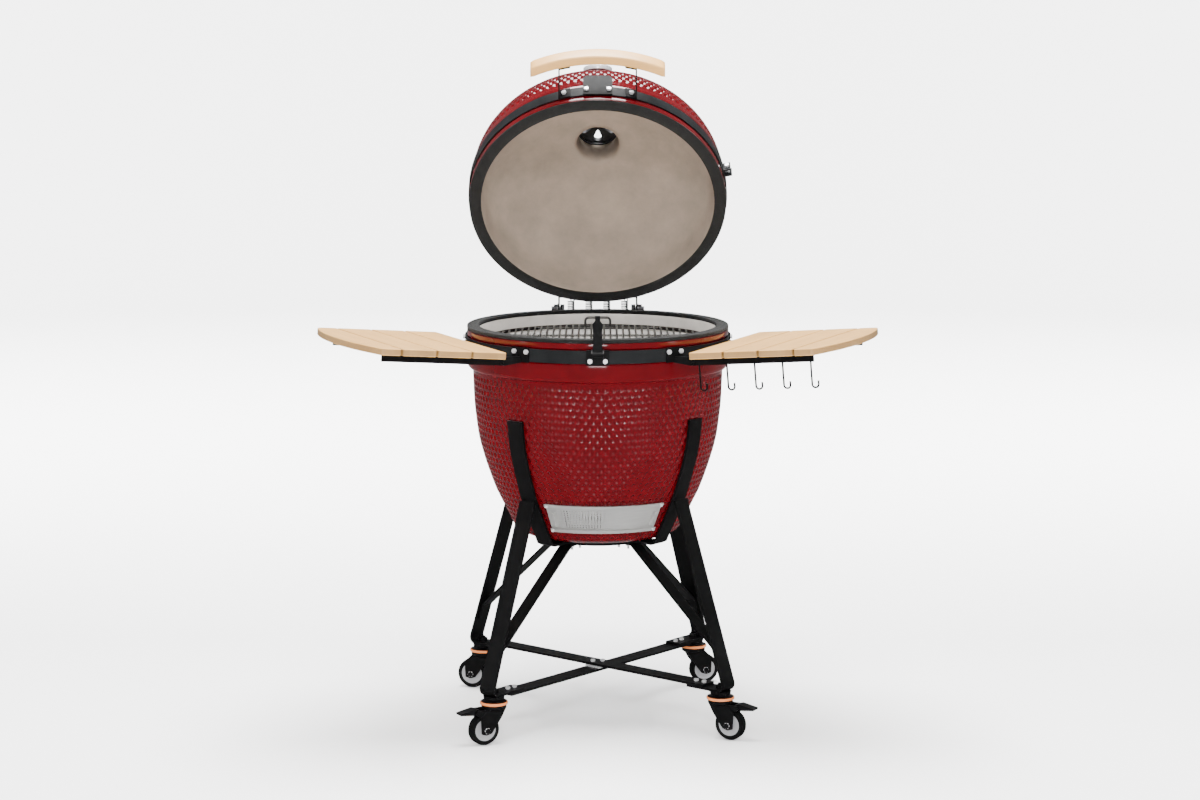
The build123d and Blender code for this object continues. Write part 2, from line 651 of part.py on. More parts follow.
def clamp(azimuth, z_low):
    """Two ears on the band and the bolt through them."""
    middle = z_low + BAND_H / 2
    ear = Box(LUG_REACH, LUG_T, BAND_H - 4)
    ear_r = RIM_R + BAND_T + LUG_REACH / 2 + 0.1
    ears = Compound([Pos(ear_r, side * LUG_X, middle) * ear for side in (-1, 1)])
    out, end = RIM_R + CLAMP_OUT, LUG_X + LUG_T / 2
    bolt = rod(CLAMP_R, (out, -end, middle), (out, end, middle))
    bolt += hex_head(BOLT_R, BOLT_R, (out, end, middle), (0, 1, 0))
    bolt += hex_head(BOLT_R, BOLT_R, (out, -end, middle), (0, -1, 0))
    return [Rot(0, 0, azimuth) * shape for shape in (ears - bolt, bolt)]


lid_bolt_z = LID_Z + 33
lid_lugs, lid_clamp_bolt = clamp(-14, LID_BAND_Z)
lid_bolts = [front_bolt(x, SEAT_R + CATCH_T + 0.1, lid_bolt_z) for x in (-27.5, 27.5)]
lid_bolts += [band_bolt(azimuth, lid_bolt_z) for azimuth in (255.5, 284.5, 77, 103)]
parts["lid_bolts"] = opened(Compound(lid_bolts + [lid_clamp_bolt]))
parts["lid_band"] = Compound([parts["lid_band"], opened(lid_lugs)])
base_lugs, base_clamp_bolt = clamp(55, BASE_BAND_Z)
parts["base_band"] = Compound([parts["base_band"], base_lugs])

# ---- side shelves: local frame has x outwards (u), y along the fold axis (v)
def shelf_place(side, shape):
    """Tilt a flat shelf shape about its fold axis and turn it to its side."""
    tilted = shape.rotate(Axis((PIVOT_U, 0, PIVOT_Z), (0, 1, 0)), -SHELF_TILT)
    return Rot(0, 0, SHELF_AZ[side]) * tilted


def slats():
    """Four boards with gaps between them, the last one bowed outwards."""
    low = PIVOT_Z + ARM_DEPTH / 2 + 0.1
    edge = ThreePointArc((SHELF_CORNER, -SHELF_HALF), (SHELF_OUT, 0), (SHELF_CORNER, SHELF_HALF))
    back = Polyline((SHELF_CORNER, SHELF_HALF), (SHELF_IN, SHELF_HALF), (SHELF_IN, -SHELF_HALF),
                    (SHELF_CORNER, -SHELF_HALF))
    board = Pos(0, 0, low) * extrude(make_face([edge, back]), SLAT_T)
    strips = []
    for k in range(SLATS):
        start = SHELF_IN + SLAT_PITCH * k
        width = SLAT_PITCH - SLAT_GAP if k < SLATS - 1 else 2 * SLAT_PITCH
        strip = board & (Pos(start + width / 2, 0, low) * Box(width, 600, 80))
        strips.append(fillet(strip.edges().filter_by(Axis.Z), 3))
    return Compound(strips)


def arms():
    pair = []
    for v in (-ARM_V, ARM_V):
        bar = Pos((PIVOT_U + ARM_END) / 2, v, PIVOT_Z) * Box(ARM_END - PIVOT_U, ARM_T, ARM_DEPTH)
        bar += Pos(PIVOT_U, v, PIVOT_Z) * (Rot(90, 0, 0) * Cylinder(ARM_DEPTH / 2 - 1, ARM_T))
        bar -= Pos(PIVOT_U, v, PIVOT_Z) * (Rot(90, 0, 0) * Cylinder(FOLD_PIN_R + PIN_GAP, 3 * ARM_T))
        pair.append(bar)
    return Compound(pair)


def bracket_ear(v, root):
    """Upright plate beside an arm, across the fold axis."""
    low = v - FOOT_T / 2
    outline = [(root + 1, 931), (PIVOT_U, 931), (PIVOT_U + 8, 926), (PIVOT_U + 8, 915), (PIVOT_U, 911),
               (root - 4, 917)]
    return extrude(make_face(Polyline(*[(u, low, z) for u, z in outline], close=True)), FOOT_T, dir=(0, 1, 0))


def shelf_bracket(v):
    """Foot on the band, an ear each side of the arm, and the pivot bolt through them."""
    foot = arc_wall(SEAT_R, SEAT_R + FOOT_T, 917, 952, degrees(asin(v / SEAT_R)), 4.2)
    root = sqrt(SEAT_R ** 2 - (abs(v) - 6) ** 2)
    ears = bracket_ear(v - EAR_V, root) + bracket_ear(v + EAR_V, root)
    ears -= Pos(0, 0, 850) * Cylinder(SEAT_R, 240)
    return foot + ears + Pos(PIVOT_U, v, PIVOT_Z) * (Rot(90, 0, 0) * Cylinder(FOLD_PIN_R, 18))


def hook(u):
    """Open wire hook hung on the front arm."""
    v, low = -ARM_V, PIVOT_Z - ARM_DEPTH / 2
    route = [(u, v, low), (u, v, low - HOOK_DROP), (u + HOOK_W, v, low - HOOK_DROP),
             (u + HOOK_W, v, low - HOOK_DROP + HOOK_W)]
    return wire(HOOK_R, route, HOOK_BEND)


for side in SHELF_AZ:
    parts[side + "_shelf_slats"] = shelf_place(side, slats())
    parts[side + "_shelf_arms"] = shelf_place(side, arms())
hooks = Compound([hook(HOOK_FIRST + HOOK_PITCH * k) for k in range(HOOKS)])
parts["tool_hooks"] = shelf_place("right", hooks)
shelf_sides = [(side, v) for side in SHELF_AZ for v in (-ARM_V, ARM_V)]
parts["shelf_brackets"] = Compound([Rot(0, 0, SHELF_AZ[side]) * shelf_bracket(v) for side, v in shelf_sides])
base_bolt_z = BASE_BAND_Z + BAND_H / 2
base_bolts = [front_bolt(x, BOLT_SEAT, 926) for x in (-18, 18)]
for side, v in shelf_sides:
    at = SHELF_AZ[side] + degrees(asin(v / RIM_R))
    base_bolts += [band_bolt(at + turn, base_bolt_z + 8) for turn in (-3.0, 3.0)]
base_bolts += [band_bolt(azimuth, 946) for azimuth in (82, 98)]
parts["base_bolts"] = Compound(base_bolts + [base_clamp_bolt] + draft_screws)

# ---- stand: four cradle arms, legs and struts, a centre plate and a crossed brace
ARM_TAB_Z = FLOOR_Z - 0.3 - BAR_T / 2
CRADLE_IN = 45.0          # inner end of each arm under the bowl
CRADLE_TOP = (301.5, 770.0)
CRADLE_GAP = 0.8          # cushion between bar and bowl
PLATE_T = 5.0
PLATE_R = 122.0
STRUT_T = 5.0
STRUT_W = 34.0
STRUT_IN = 50.0
STRUT_ELBOW = 118.0
STRUT_TAB = 20.0          # half length of the tab on the leg
BRACE_HALF = 348.0
PLATE_BOLTS = (68.0, 98.0)     # radii of the bolts under the bowl
TAB_BOLTS = (312.0, 336.0)     # and of those in the brace ends


def cradle_arm():
    """Bar bent to the bowl's side and run in under it."""
    gap, full = CRADLE_GAP, BAR_T + CRADLE_GAP
    side = [CONE_TOP, *BELLY[:4], CRADLE_TOP]
    top_r, top_z = CRADLE_TOP

    def offset(by):
        return Spline(*[rz(r + by, z) for r, z in side], tangents=(CONE_RUN, (0.1, 0, 1)))
    under = FLOOR_Z - SEAM
    corner_r = CONE_LOW[0] + gap - CONE_SLOPE * (CONE_LOW[1] - under)
    bend_in = [rz(CONE_TOP[0] + gap, CONE_TOP[1]), rz(corner_r, under), rz(CRADLE_IN, under)]
    bend_out = [rz(CRADLE_IN, under - BAR_T), rz(corner_r - 6, under - BAR_T),
                rz(corner_r + 6, under), rz(CONE_TOP[0] + full, CONE_TOP[1])]
    top = Line(rz(top_r + gap, top_z), rz(top_r + full, top_z))
    face = make_face([offset(gap), top, offset(full), Polyline(*bend_in),
                      Polyline(*bend_out), Line(bend_in[-1], bend_out[0])])
    return extrude(face, BAR_W / 2, both=True)


def leg():
    return flat_bar([LEG_TOP, ANKLE, (TAB_IN, TAB_Z)], BAR_T, BAR_W, LEG_BEND)


def strut():
    """Bar from under the bowl down to a tab on the inner face of its leg."""
    lean = Vector(ANKLE[0] - LEG_TOP[0], 0, ANKLE[1] - LEG_TOP[1]).normalized()
    inward = Vector(lean.Z, 0, -lean.X)
    reach = (LEG_TOP[1] - STRUT_FOOT) / -lean.Z
    middle = Vector(*rz(*LEG_TOP)) + lean * reach + inward * (BAR_T / 2 + STRUT_T / 2 + 0.1)
    high, low = middle - lean * STRUT_TAB, middle + lean * STRUT_TAB
    level = ARM_TAB_Z - BAR_T / 2 - PLATE_T - STRUT_T / 2 - 0.2
    route = [(STRUT_IN, level), (STRUT_ELBOW, level), (high.X, high.Z), (low.X, low.Z)]
    return flat_bar(route, STRUT_T, STRUT_W, 12)


def plate_bolt(azimuth, r):
    """Bolt head under a strut, with the end of its thread below."""
    low = ARM_TAB_Z - BAR_T / 2 - PLATE_T - STRUT_T - 0.2 - BOLT_H
    return hex_head(7, BOLT_H, radial(azimuth, r, low), (0, 0, 1)) + rod(3, radial(azimuth, r, low - 8),
                                                                         radial(azimuth, r, low))


def frame_bolts():
    """Bolts through the centre plate, the caster tabs and the braces, and the braces' spacer."""
    bolts = [plate_bolt(azimuth + STAND_TURN, r) for azimuth in LEG_AZ for r in PLATE_BOLTS]
    for azimuth, top in zip(LEG_AZ, 2 * (TAB_Z + BAR_T / 2, TAB_Z + 1.5 * BAR_T)):
        at = azimuth + STAND_TURN
        bolts += [hex_head(BOLT_R, BOLT_H, radial(at, r, top), (0, 0, 1)) for r in TAB_BOLTS]
    centre = Rot(0, 0, STAND_TURN) * Pos(0, 0, TAB_Z)
    bolts.append(centre * (Rot(0, 0, 45) * Box(BAR_W - 2, BAR_W - 2, BAR_T)))
    head = extrude(RegularPolygon(BOLT_R, 6), BOLT_H)
    return Compound(bolts + [centre * Pos(x, 0, BAR_T * 1.5) * head for x in (-12, 12)])


placed = [Rot(0, 0, azimuth + STAND_TURN) for azimuth in LEG_AZ]
parts["cradle_arms"] = Compound([turn * cradle_arm() for turn in placed])
parts["struts"] = Compound([turn * strut() for turn in placed])
stem_hole = Pos(STEM_R, 0, TAB_Z) * Cylinder(STEM_SHANK_R + PIN_GAP, 20)
for turn, corner in zip(placed, CORNERS):
    parts["leg_" + corner] = turn * (leg() - stem_hole)
parts["centre_plate"] = Pos(0, 0, ARM_TAB_Z - BAR_T / 2 - PLATE_T / 2 - 0.1) * Cylinder(PLATE_R, PLATE_T)
brace = Box(2 * BRACE_HALF, BAR_W, BAR_T)
levels = (TAB_Z - BAR_T, TAB_Z + BAR_T)
parts["braces"] = Compound([turn * Pos(0, 0, z) * brace for turn, z in zip(placed, levels)])
parts["frame_bolts"] = frame_bolts()

# ---- casters: x trails away from the swivel axis
CROWN_Z = 84.0
CROWN_R = 30.0
RACE_Z = (96.0, 104.0)
RACE_R = 31.5
STEM_TOP = 136.0
CHEEK_Y = 17.5            # inner face of each fork cheek
CHEEK_T = 3.0
AXLE_HALF = 23.0
TYRE_IN = 27.0            # radius where tyre meets hub
HUB_R = 9.0
PEDAL_X = 50.0
PEDAL_Z = 80.0
PEDAL_HALF = 13.0
PEDAL_PIN_R = 3.0


def caster_stem():
    shank_r = STEM_SHANK_R
    nut = extrude(Pos(0, 0, TAB_Z + BAR_T / 2) * RegularPolygon(11, 6), 9)
    flange = turned([(shank_r, 108), (24, 108), (26, 117), (shank_r, 117)])
    foot = CROWN_Z - SEAM
    shank = turned([(0, foot - 4.7), (11, foot - 4.7), (11, foot), (shank_r, foot), (shank_r, STEM_TOP),
                    (0, STEM_TOP)])
    return shank + nut + flange


def fork_cheek(side):
    outline = [(-22, 88), (26, 88), (44, 70), (42, 30), (30, 26), (16, 30), (-10, 66)]
    face = make_face(Polyline(*[(x, side * CHEEK_Y, z) for x, z in outline], close=True))
    return extrude(face, CHEEK_T, dir=(0, side, 0))


def caster_fork():
    """Swivel crown, two cheeks, the hood over the wheel, and the axle with its nuts."""
    bore = STEM_SHANK_R + PIN_GAP
    crown = turned([(bore, CROWN_Z), (CROWN_R - 6, CROWN_Z), (CROWN_R, CROWN_Z + 4), (CROWN_R, RACE_Z[0]),
                    (RACE_R, RACE_Z[0]), (RACE_R, RACE_Z[1]), (bore, RACE_Z[1])])
    hood = Pos(4, 0, CROWN_Z + 2) * Box(44, 36, 4) - Cylinder(2 * STEM_SHANK_R + PIN_GAP, 400)
    axle = rod(AXLE_R, (TRAIL, -AXLE_HALF, WHEEL_R), (TRAIL, AXLE_HALF, WHEEL_R))
    nut_y = CHEEK_Y + CHEEK_T
    for side in (-1, 1):
        axle += hex_head(7, 4, (TRAIL, side * nut_y, WHEEL_R), (0, side, 0))
    return crown + fork_cheek(-1) + fork_cheek(1) + hood + axle


def caster_wheel():
    """Tyre and hub, both turned about the wheel's own axle."""
    half, bore, rim = WHEEL_W / 2, AXLE_R + PIN_GAP, TYRE_IN
    tyre = turned([(rim, 2 - half), (31, -half), (35, -half), (WHEEL_R, 5 - half), (WHEEL_R, half - 5),
                   (35, half), (31, half), (rim, half - 2)])
    side = [(bore, half + 2), (HUB_R, half + 2), (HUB_R + 2, half - 3), (rim - 5, half - 3), (rim, half - 2)]
    hub = turned(side + [(r, -z) for r, z in reversed(side)])
    upright = Pos(TRAIL, 0, WHEEL_R) * Rot(90, 0, 0)
    return upright * tyre, upright * hub


def brake_pedal():
    """Foot pedal on a cross pin ahead of the wheel, sloping outwards."""
    outline = [(-7, 8), (5, 12), (44, 4), (44, 0), (6, -4), (-5, -5)]
    face = make_face(Polyline(*[rz(PEDAL_X + x, PEDAL_Z + z) for x, z in outline], close=True))
    pedal = extrude(face, PEDAL_HALF, both=True)
    return pedal - rod(PEDAL_PIN_R + PIN_GAP, (PEDAL_X, -20, PEDAL_Z + 2), (PEDAL_X, 20, PEDAL_Z + 2))


def pedal_mount():
    """Two fork ears and the pin that the pedal turns on."""
    piece = rod(PEDAL_PIN_R, (PEDAL_X, -17, PEDAL_Z + 2), (PEDAL_X, 17, PEDAL_Z + 2))
    for side in (-1, 1):
        outline = [(20, 88), (PEDAL_X + 4, 88), (PEDAL_X + 6, 80), (PEDAL_X, 74), (30, 74)]
        inner = side * (PEDAL_HALF + 1.5)
        face = make_face(Polyline(*[(x, inner, z) for x, z in outline], close=True))
        piece += extrude(face, 4, dir=(0, side, 0))
    return piece


stems = []
for index, corner in enumerate(CORNERS):
    x, y, _ = radial(LEG_AZ[index] + STAND_TURN, STEM_R, 0)
    place = Pos(x, y, 0) * Rot(0, 0, CASTER_AZ[index])
    stems.append(Pos(x, y, 0) * caster_stem())
    tyre, hub = caster_wheel()
    fork = caster_fork()
    if corner.startswith("front"):
        fork += pedal_mount()
        parts["brake_pedal_" + corner] = place * brake_pedal()
    parts["fork_" + corner] = place * fork
    parts["tyre_" + corner] = place * tyre
    parts["hub_" + corner] = place * hub
parts["caster_stems"] = Compound(stems)

os.makedirs("parts", exist_ok=True)
for name, shape in parts.items():
    export_step(shape, "parts/" + name + ".step")
print(len(parts), "sub-parts written")
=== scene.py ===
"""Looks of the kamado charcoal grill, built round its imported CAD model. Metres, +Z up, front -Y."""
import json
from math import cos, pi, radians, sin, sqrt

import bpy
import numpy as np
from mathutils import Matrix, Vector


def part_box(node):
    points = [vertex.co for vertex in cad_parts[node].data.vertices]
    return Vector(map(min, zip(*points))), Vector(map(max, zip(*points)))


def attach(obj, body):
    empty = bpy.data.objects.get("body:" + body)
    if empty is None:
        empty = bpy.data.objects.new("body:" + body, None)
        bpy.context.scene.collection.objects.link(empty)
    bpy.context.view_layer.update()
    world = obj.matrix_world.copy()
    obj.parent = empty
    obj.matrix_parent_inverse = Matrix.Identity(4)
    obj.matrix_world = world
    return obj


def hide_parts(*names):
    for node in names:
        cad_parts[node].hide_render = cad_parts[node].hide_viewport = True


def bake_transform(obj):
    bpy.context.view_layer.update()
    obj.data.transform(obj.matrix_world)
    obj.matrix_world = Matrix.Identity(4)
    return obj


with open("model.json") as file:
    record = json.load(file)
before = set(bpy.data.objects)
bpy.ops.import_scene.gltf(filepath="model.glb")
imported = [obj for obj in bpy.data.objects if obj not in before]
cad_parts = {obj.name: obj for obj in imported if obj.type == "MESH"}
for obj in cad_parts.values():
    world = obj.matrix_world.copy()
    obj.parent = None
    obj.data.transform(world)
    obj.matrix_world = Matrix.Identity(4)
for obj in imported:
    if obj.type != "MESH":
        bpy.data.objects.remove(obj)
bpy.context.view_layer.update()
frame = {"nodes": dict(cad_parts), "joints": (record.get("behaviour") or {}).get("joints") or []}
NODES = frame["nodes"]
JOINTS = {j["name"]: j for j in frame["joints"]}
MM = 0.001

# ---- places taken from the frame
HINGE = Vector(JOINTS["lid_hinge"]["pos_m"])
LID_OPEN = -radians(JOINTS["lid_hinge"]["range_deg"][0])
OPEN = Matrix.Translation(HINGE) @ Matrix.Rotation(-LID_OPEN, 4, "X") @ Matrix.Translation(-HINGE)
BOWL_LOW, BOWL_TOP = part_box("bowl")
RIM_R = BOWL_TOP.x
RIM_Z = BOWL_TOP.z
BASE_FELT = 9 * MM
LID_FELT = 4 * MM
FELT_GAP = 0.15 * MM       # each felt stops this far short of the other when the lid is shut
LID_Z = RIM_Z + BASE_FELT + LID_FELT
WALL_R = 290 * MM
CORNERS = ["front_left", "front_right", "back_right", "back_left"]

# ---- dimpled skin
PITCH = 17.6 * MM
ROW = 15.2 * MM
DIMPLE_R = 7.3 * MM
DIMPLE_DEPTH = 3.1 * MM
FINE = 1.9 * MM
COLUMNS = 1000


# ================================================================ materials
def new_material(name, color, rough, metal=0.0, **sockets):
    """Principled material; sockets are extra inputs by name with underscores for spaces."""
    mat = bpy.data.materials.new(name)
    mat.use_nodes = True
    mat.diffuse_color = (*color, 1)
    shader = mat.node_tree.nodes["Principled BSDF"]
    shader.inputs["Base Color"].default_value = (*color, 1)
    shader.inputs["Roughness"].default_value = rough
    shader.inputs["Metallic"].default_value = metal
    for key, value in sockets.items():
        shader.inputs[key.replace("_", " ")].default_value = value
    return mat


def nodes_of(mat):
    tree = mat.node_tree
    return tree, tree.nodes["Principled BSDF"]


def coords(mat, scale=(1, 1, 1), turn=0.0):
    """Object coordinates through a mapping."""
    tree, _ = nodes_of(mat)
    place = tree.nodes.new("ShaderNodeTexCoord")
    spin = tree.nodes.new("ShaderNodeMapping")
    spin.inputs["Rotation"].default_value = (0, 0, -turn)
    stretch = tree.nodes.new("ShaderNodeMapping")
    stretch.inputs["Scale"].default_value = scale
    tree.links.new(place.outputs["Object"], spin.inputs["Vector"])
    tree.links.new(spin.outputs["Vector"], stretch.inputs["Vector"])
    return stretch.outputs["Vector"]


def noise(mat, vector, scale, detail=4.0, rough=0.55):
    tree, _ = nodes_of(mat)
    tex = tree.nodes.new("ShaderNodeTexNoise")
    tex.inputs["Scale"].default_value = scale
    tex.inputs["Detail"].default_value = detail
    tex.inputs["Roughness"].default_value = rough
    tree.links.new(vector, tex.inputs["Vector"])
    return tex.outputs["Fac"]


def ramp(mat, fac, stops):
    """Colour ramp; stops are (position, (r, g, b))."""
    tree, _ = nodes_of(mat)
    node = tree.nodes.new("ShaderNodeValToRGB")
    band = node.color_ramp
    band.elements[0].position, band.elements[0].color = stops[0][0], (*stops[0][1], 1)
    band.elements[1].position, band.elements[1].color = stops[-1][0], (*stops[-1][1], 1)
    for at, color in stops[1:-1]:
        band.elements.new(at).color = (*color, 1)
    tree.links.new(fac, node.inputs["Fac"])
    return node.outputs["Color"]


def value_range(mat, fac, low, high):
    tree, _ = nodes_of(mat)
    node = tree.nodes.new("ShaderNodeMapRange")
    node.inputs["To Min"].default_value = low
    node.inputs["To Max"].default_value = high
    tree.links.new(fac, node.inputs["Value"])
    return node.outputs["Result"]


def bump(mat, height, strength, distance, after=None):
    tree, shader = nodes_of(mat)
    node = tree.nodes.new("ShaderNodeBump")
    node.inputs["Strength"].default_value = strength
    node.inputs["Distance"].default_value = distance
    tree.links.new(height, node.inputs["Height"])
    if after:
        tree.links.new(after, node.inputs["Normal"])
    tree.links.new(node.outputs["Normal"], shader.inputs["Normal"])
    return node.outputs["Normal"]


def link_input(mat, output, name):
    tree, shader = nodes_of(mat)
    tree.links.new(output, shader.inputs[name])


def shades(color, low=0.85, high=1.12):
    dark = tuple(c * low for c in color)
    light = tuple(min(1.0, c * high) for c in color)
    return [(0.3, dark), (0.7, light)]


def red_glaze():
    """Thick glossy glaze with slow drifts of depth and a faint orange peel."""
    red = (0.052, 0.0005, 0.0018)
    mat = new_material("red_glaze", red, 0.1, Specular_IOR_Level=0.36)
    vector = coords(mat)
    drift = noise(mat, vector, 22, 3)
    link_input(mat, ramp(mat, drift, shades(red, 0.9, 1.08)), "Base Color")
    link_input(mat, value_range(mat, noise(mat, vector, 60), 0.05, 0.1), "Roughness")
    bump(mat, noise(mat, vector, 260, 2), 0.12, 0.0004)
    return mat


def bare_clay(name, clay):
    """Unglazed cordierite: warm grey, speckled, slightly rough."""
    mat = new_material(name, clay, 0.8, Specular_IOR_Level=0.3)
    vector = coords(mat)
    link_input(mat, ramp(mat, noise(mat, vector, 9, 8, 0.7), shades(clay, 0.8, 1.12)), "Base Color")
    bump(mat, noise(mat, vector, 480, 5, 0.7), 0.5, 0.0006)
    return mat


def fire_clay():
    clay = (0.80, 0.775, 0.74)
    mat = new_material("fire_clay", clay, 0.85)
    vector = coords(mat)
    link_input(mat, ramp(mat, noise(mat, vector, 14, 8, 0.7), shades(clay, 0.86, 1.08)), "Base Color")
    bump(mat, noise(mat, vector, 420, 5, 0.7), 0.5, 0.0007)
    return mat


def felt(color):
    """Pressed fibre: fuzzy, with a fine random nap."""
    mat = new_material("felt", color, 0.95, Sheen_Weight=0.04, Sheen_Roughness=0.6, Specular_IOR_Level=0.1)
    vector = coords(mat)
    link_input(mat, ramp(mat, noise(mat, vector, 900, 3, 0.8), shades(color, 0.55, 1.5)), "Base Color")
    bump(mat, noise(mat, vector, 1300, 4, 0.8), 0.9, 0.0010)
    return mat


def powder_coat(name, color, rough=0.44):
    """Baked powder paint: fine pebbled skin."""
    mat = new_material(name, color, rough, Specular_IOR_Level=0.07)
    vector = coords(mat)
    link_input(mat, value_range(mat, noise(mat, vector, 35), rough - 0.07, rough + 0.1), "Roughness")
    link_input(mat, ramp(mat, noise(mat, vector, 12), shades(color, 0.8, 1.25)), "Base Color")
    bump(mat, noise(mat, vector, 1400, 3), 0.22, 0.0003)
    return mat


def brushed(name, color, rough, scale):
    """Metal with drawn lines along the direction where scale is small."""
    mat = new_material(name, color, rough, 0.8)
    vector = coords(mat, scale)
    lines = noise(mat, vector, 1.0, 5, 0.65)
    link_input(mat, value_range(mat, lines, rough - 0.1, rough + 0.14), "Roughness")
    link_input(mat, ramp(mat, lines, shades(color, 0.88, 1.08)), "Base Color")
    bump(mat, lines, 0.14, 0.0002)
    return mat


def metal(name, color, rough, metallic=1.0):
    mat = new_material(name, color, rough, metallic)
    vector = coords(mat)
    link_input(mat, value_range(mat, noise(mat, vector, 180), rough - 0.08, rough + 0.12), "Roughness")
    bump(mat, noise(mat, vector, 900), 0.08, 0.0002)
    return mat


def cast_iron():
    dark = (0.016, 0.016, 0.017)
    mat = new_material("cast_iron", dark, 0.62, 0.4)
    vector = coords(mat)
    link_input(mat, ramp(mat, noise(mat, vector, 40, 6), shades(dark, 0.7, 1.6)), "Base Color")
    bump(mat, noise(mat, vector, 700, 6, 0.75), 0.7, 0.0006)
    return mat


def bamboo(name, turn, joint=0.004, tone=1.0):
    """Laminated bamboo: strips along local Y with fibre lines; tone under 1 darkens the whole colour as
    painted shade, used on the slats' sides.
    """
    pale = tuple(tone * c for c in (0.50, 0.275, 0.082))
    mat = new_material(name, pale, 0.42, Coat_Weight=0.12, Coat_Roughness=0.3)
    tree, _ = nodes_of(mat)
    fibres = noise(mat, coords(mat, (900, 14, 900), turn), 1.0, 4, 0.6)
    clouds = noise(mat, coords(mat, (30, 3, 30), turn), 1.0, 3, 0.5)
    strips = tree.nodes.new("ShaderNodeTexBrick")
    for socket, shade in (("Color1", 1.07), ("Color2", 0.93), ("Mortar", 0.7)):
        strips.inputs[socket].default_value = (*[shade * c for c in pale], 1)
    strips.inputs["Scale"].default_value = 1.0
    strips.inputs["Mortar Size"].default_value = joint
    strips.inputs["Mortar Smooth"].default_value = 0.6
    strips.inputs["Brick Width"].default_value = 0.24
    strips.inputs["Row Height"].default_value = 0.2
    tree.links.new(coords(mat, (1, 10, 1), turn - pi / 2), strips.inputs["Vector"])
    fibre_tone = ramp(mat, fibres, [(0.3, (0.80, 0.78, 0.74)), (0.62, (1, 1, 1))])
    cloud_tone = ramp(mat, clouds, [(0.3, (0.90, 0.87, 0.83)), (0.7, (1, 1, 1))])
    color = strips.outputs["Color"]
    for tone, factor in ((fibre_tone, 0.55), (cloud_tone, 0.8)):
        mix = tree.nodes.new("ShaderNodeMixRGB")
        mix.blend_type = "MULTIPLY"
        mix.inputs["Fac"].default_value = factor
        tree.links.new(color, mix.inputs["Color1"])
        tree.links.new(tone, mix.inputs["Color2"])
        color = mix.outputs["Color"]
    link_input(mat, color, "Base Color")
    link_input(mat, value_range(mat, fibres, 0.34, 0.52), "Roughness")
    bump(mat, fibres, 0.18, 0.0003)
    return mat


def rubber():
    mat = new_material("rubber", (0.0035, 0.0035, 0.0036), 0.7, Specular_IOR_Level=0.04)
    vector = coords(mat)
    link_input(mat, value_range(mat, noise(mat, vector, 90), 0.6, 0.85), "Roughness")
    bump(mat, noise(mat, vector, 900, 3), 0.25, 0.0003)
    return mat


def plastic(name, color, rough, shine=0.3):
    mat = new_material(name, color, rough, Specular_IOR_Level=shine)
    vector = coords(mat)
    link_input(mat, value_range(mat, noise(mat, vector, 150), rough - 0.06, rough + 0.08), "Roughness")
    bump(mat, noise(mat, vector, 1100, 2), 0.12, 0.0002)
    return mat


LEFT_TURN, RIGHT_TURN = radians(205), radians(335)
RED = red_glaze()
LID_CLAY = bare_clay("lid_clay", (0.235, 0.188, 0.148))
BOWL_CLAY = bare_clay("bowl_clay", (0.46, 0.43, 0.395))
FIRE = fire_clay()
FELT = felt((0.0055, 0.0055, 0.0053))
BLACK = powder_coat("black_powder_coat", (0.0028, 0.0028, 0.003))
BAND = powder_coat("band_paint", (0.007, 0.0075, 0.008), 0.38)
SHEET = brushed("brushed_stainless", (0.58, 0.575, 0.56), 0.32, (25, 25, 1400))
GRID = metal("grid_wire", (0.085, 0.083, 0.078), 0.34)
BOLT = metal("zinc_bolts", (0.60, 0.60, 0.61), 0.28, 0.6)
SPRING = plastic("spring_paint", (0.004, 0.004, 0.0042), 0.35, 0.25)
IRON = cast_iron()
NUT = metal("dark_nuts", (0.10, 0.10, 0.105), 0.3)
BAMBOO = {"left": bamboo("bamboo_left", LEFT_TURN), "right": bamboo("bamboo_right", RIGHT_TURN),
          "handle": bamboo("bamboo_handle", pi / 2, 0.0)}
# half-tone copies of the bamboo for the slats' sides: painted shade
SHADED_SIDES = {"left": bamboo("bamboo_shaded_side_left", LEFT_TURN, 0.0, 0.5),
        "right": bamboo("bamboo_shaded_side_right", RIGHT_TURN, 0.0, 0.5)}
TYRE = rubber()
HUB = plastic("hub_plastic", (0.22, 0.22, 0.227), 0.45)
FORK = plastic("fork_paint", (0.003, 0.003, 0.0032), 0.4, 0.08)
ORANGE = plastic("orange_ring", (0.5, 0.15, 0.04), 0.4)
DIAL = plastic("dial_face", (0.82, 0.82, 0.80), 0.4)
INK = plastic("dial_ink", (0.02, 0.02, 0.02), 0.5)


# ================================================================ mesh helpers
def mesh_object(name, verts, faces, mats, face_mats=None, smooth=True):
    """Mesh object from points and faces, each face's material by index."""
    mesh = bpy.data.meshes.new(name)
    mesh.from_pydata([tuple(v) for v in verts], [], faces)
    for mat in mats:
        mesh.materials.append(mat)
    if face_mats is not None:
        mesh.polygons.foreach_set("material_index", np.asarray(face_mats, np.int32))
    mesh.polygons.foreach_set("use_smooth", np.full(len(mesh.polygons), smooth))
    mesh.update()
    mesh.validate()
    obj = bpy.data.objects.new(name, mesh)
    bpy.context.scene.collection.objects.link(obj)
    return obj


def finish_piece(obj, body, slot, *replaced, matrix=None):
    """Place a piece, hang it on its body and hide the CAD nodes it replaces."""
    if matrix is not None:
        obj.data.transform(matrix)
    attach(obj, body)
    if replaced:
        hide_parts(*replaced)
    return obj


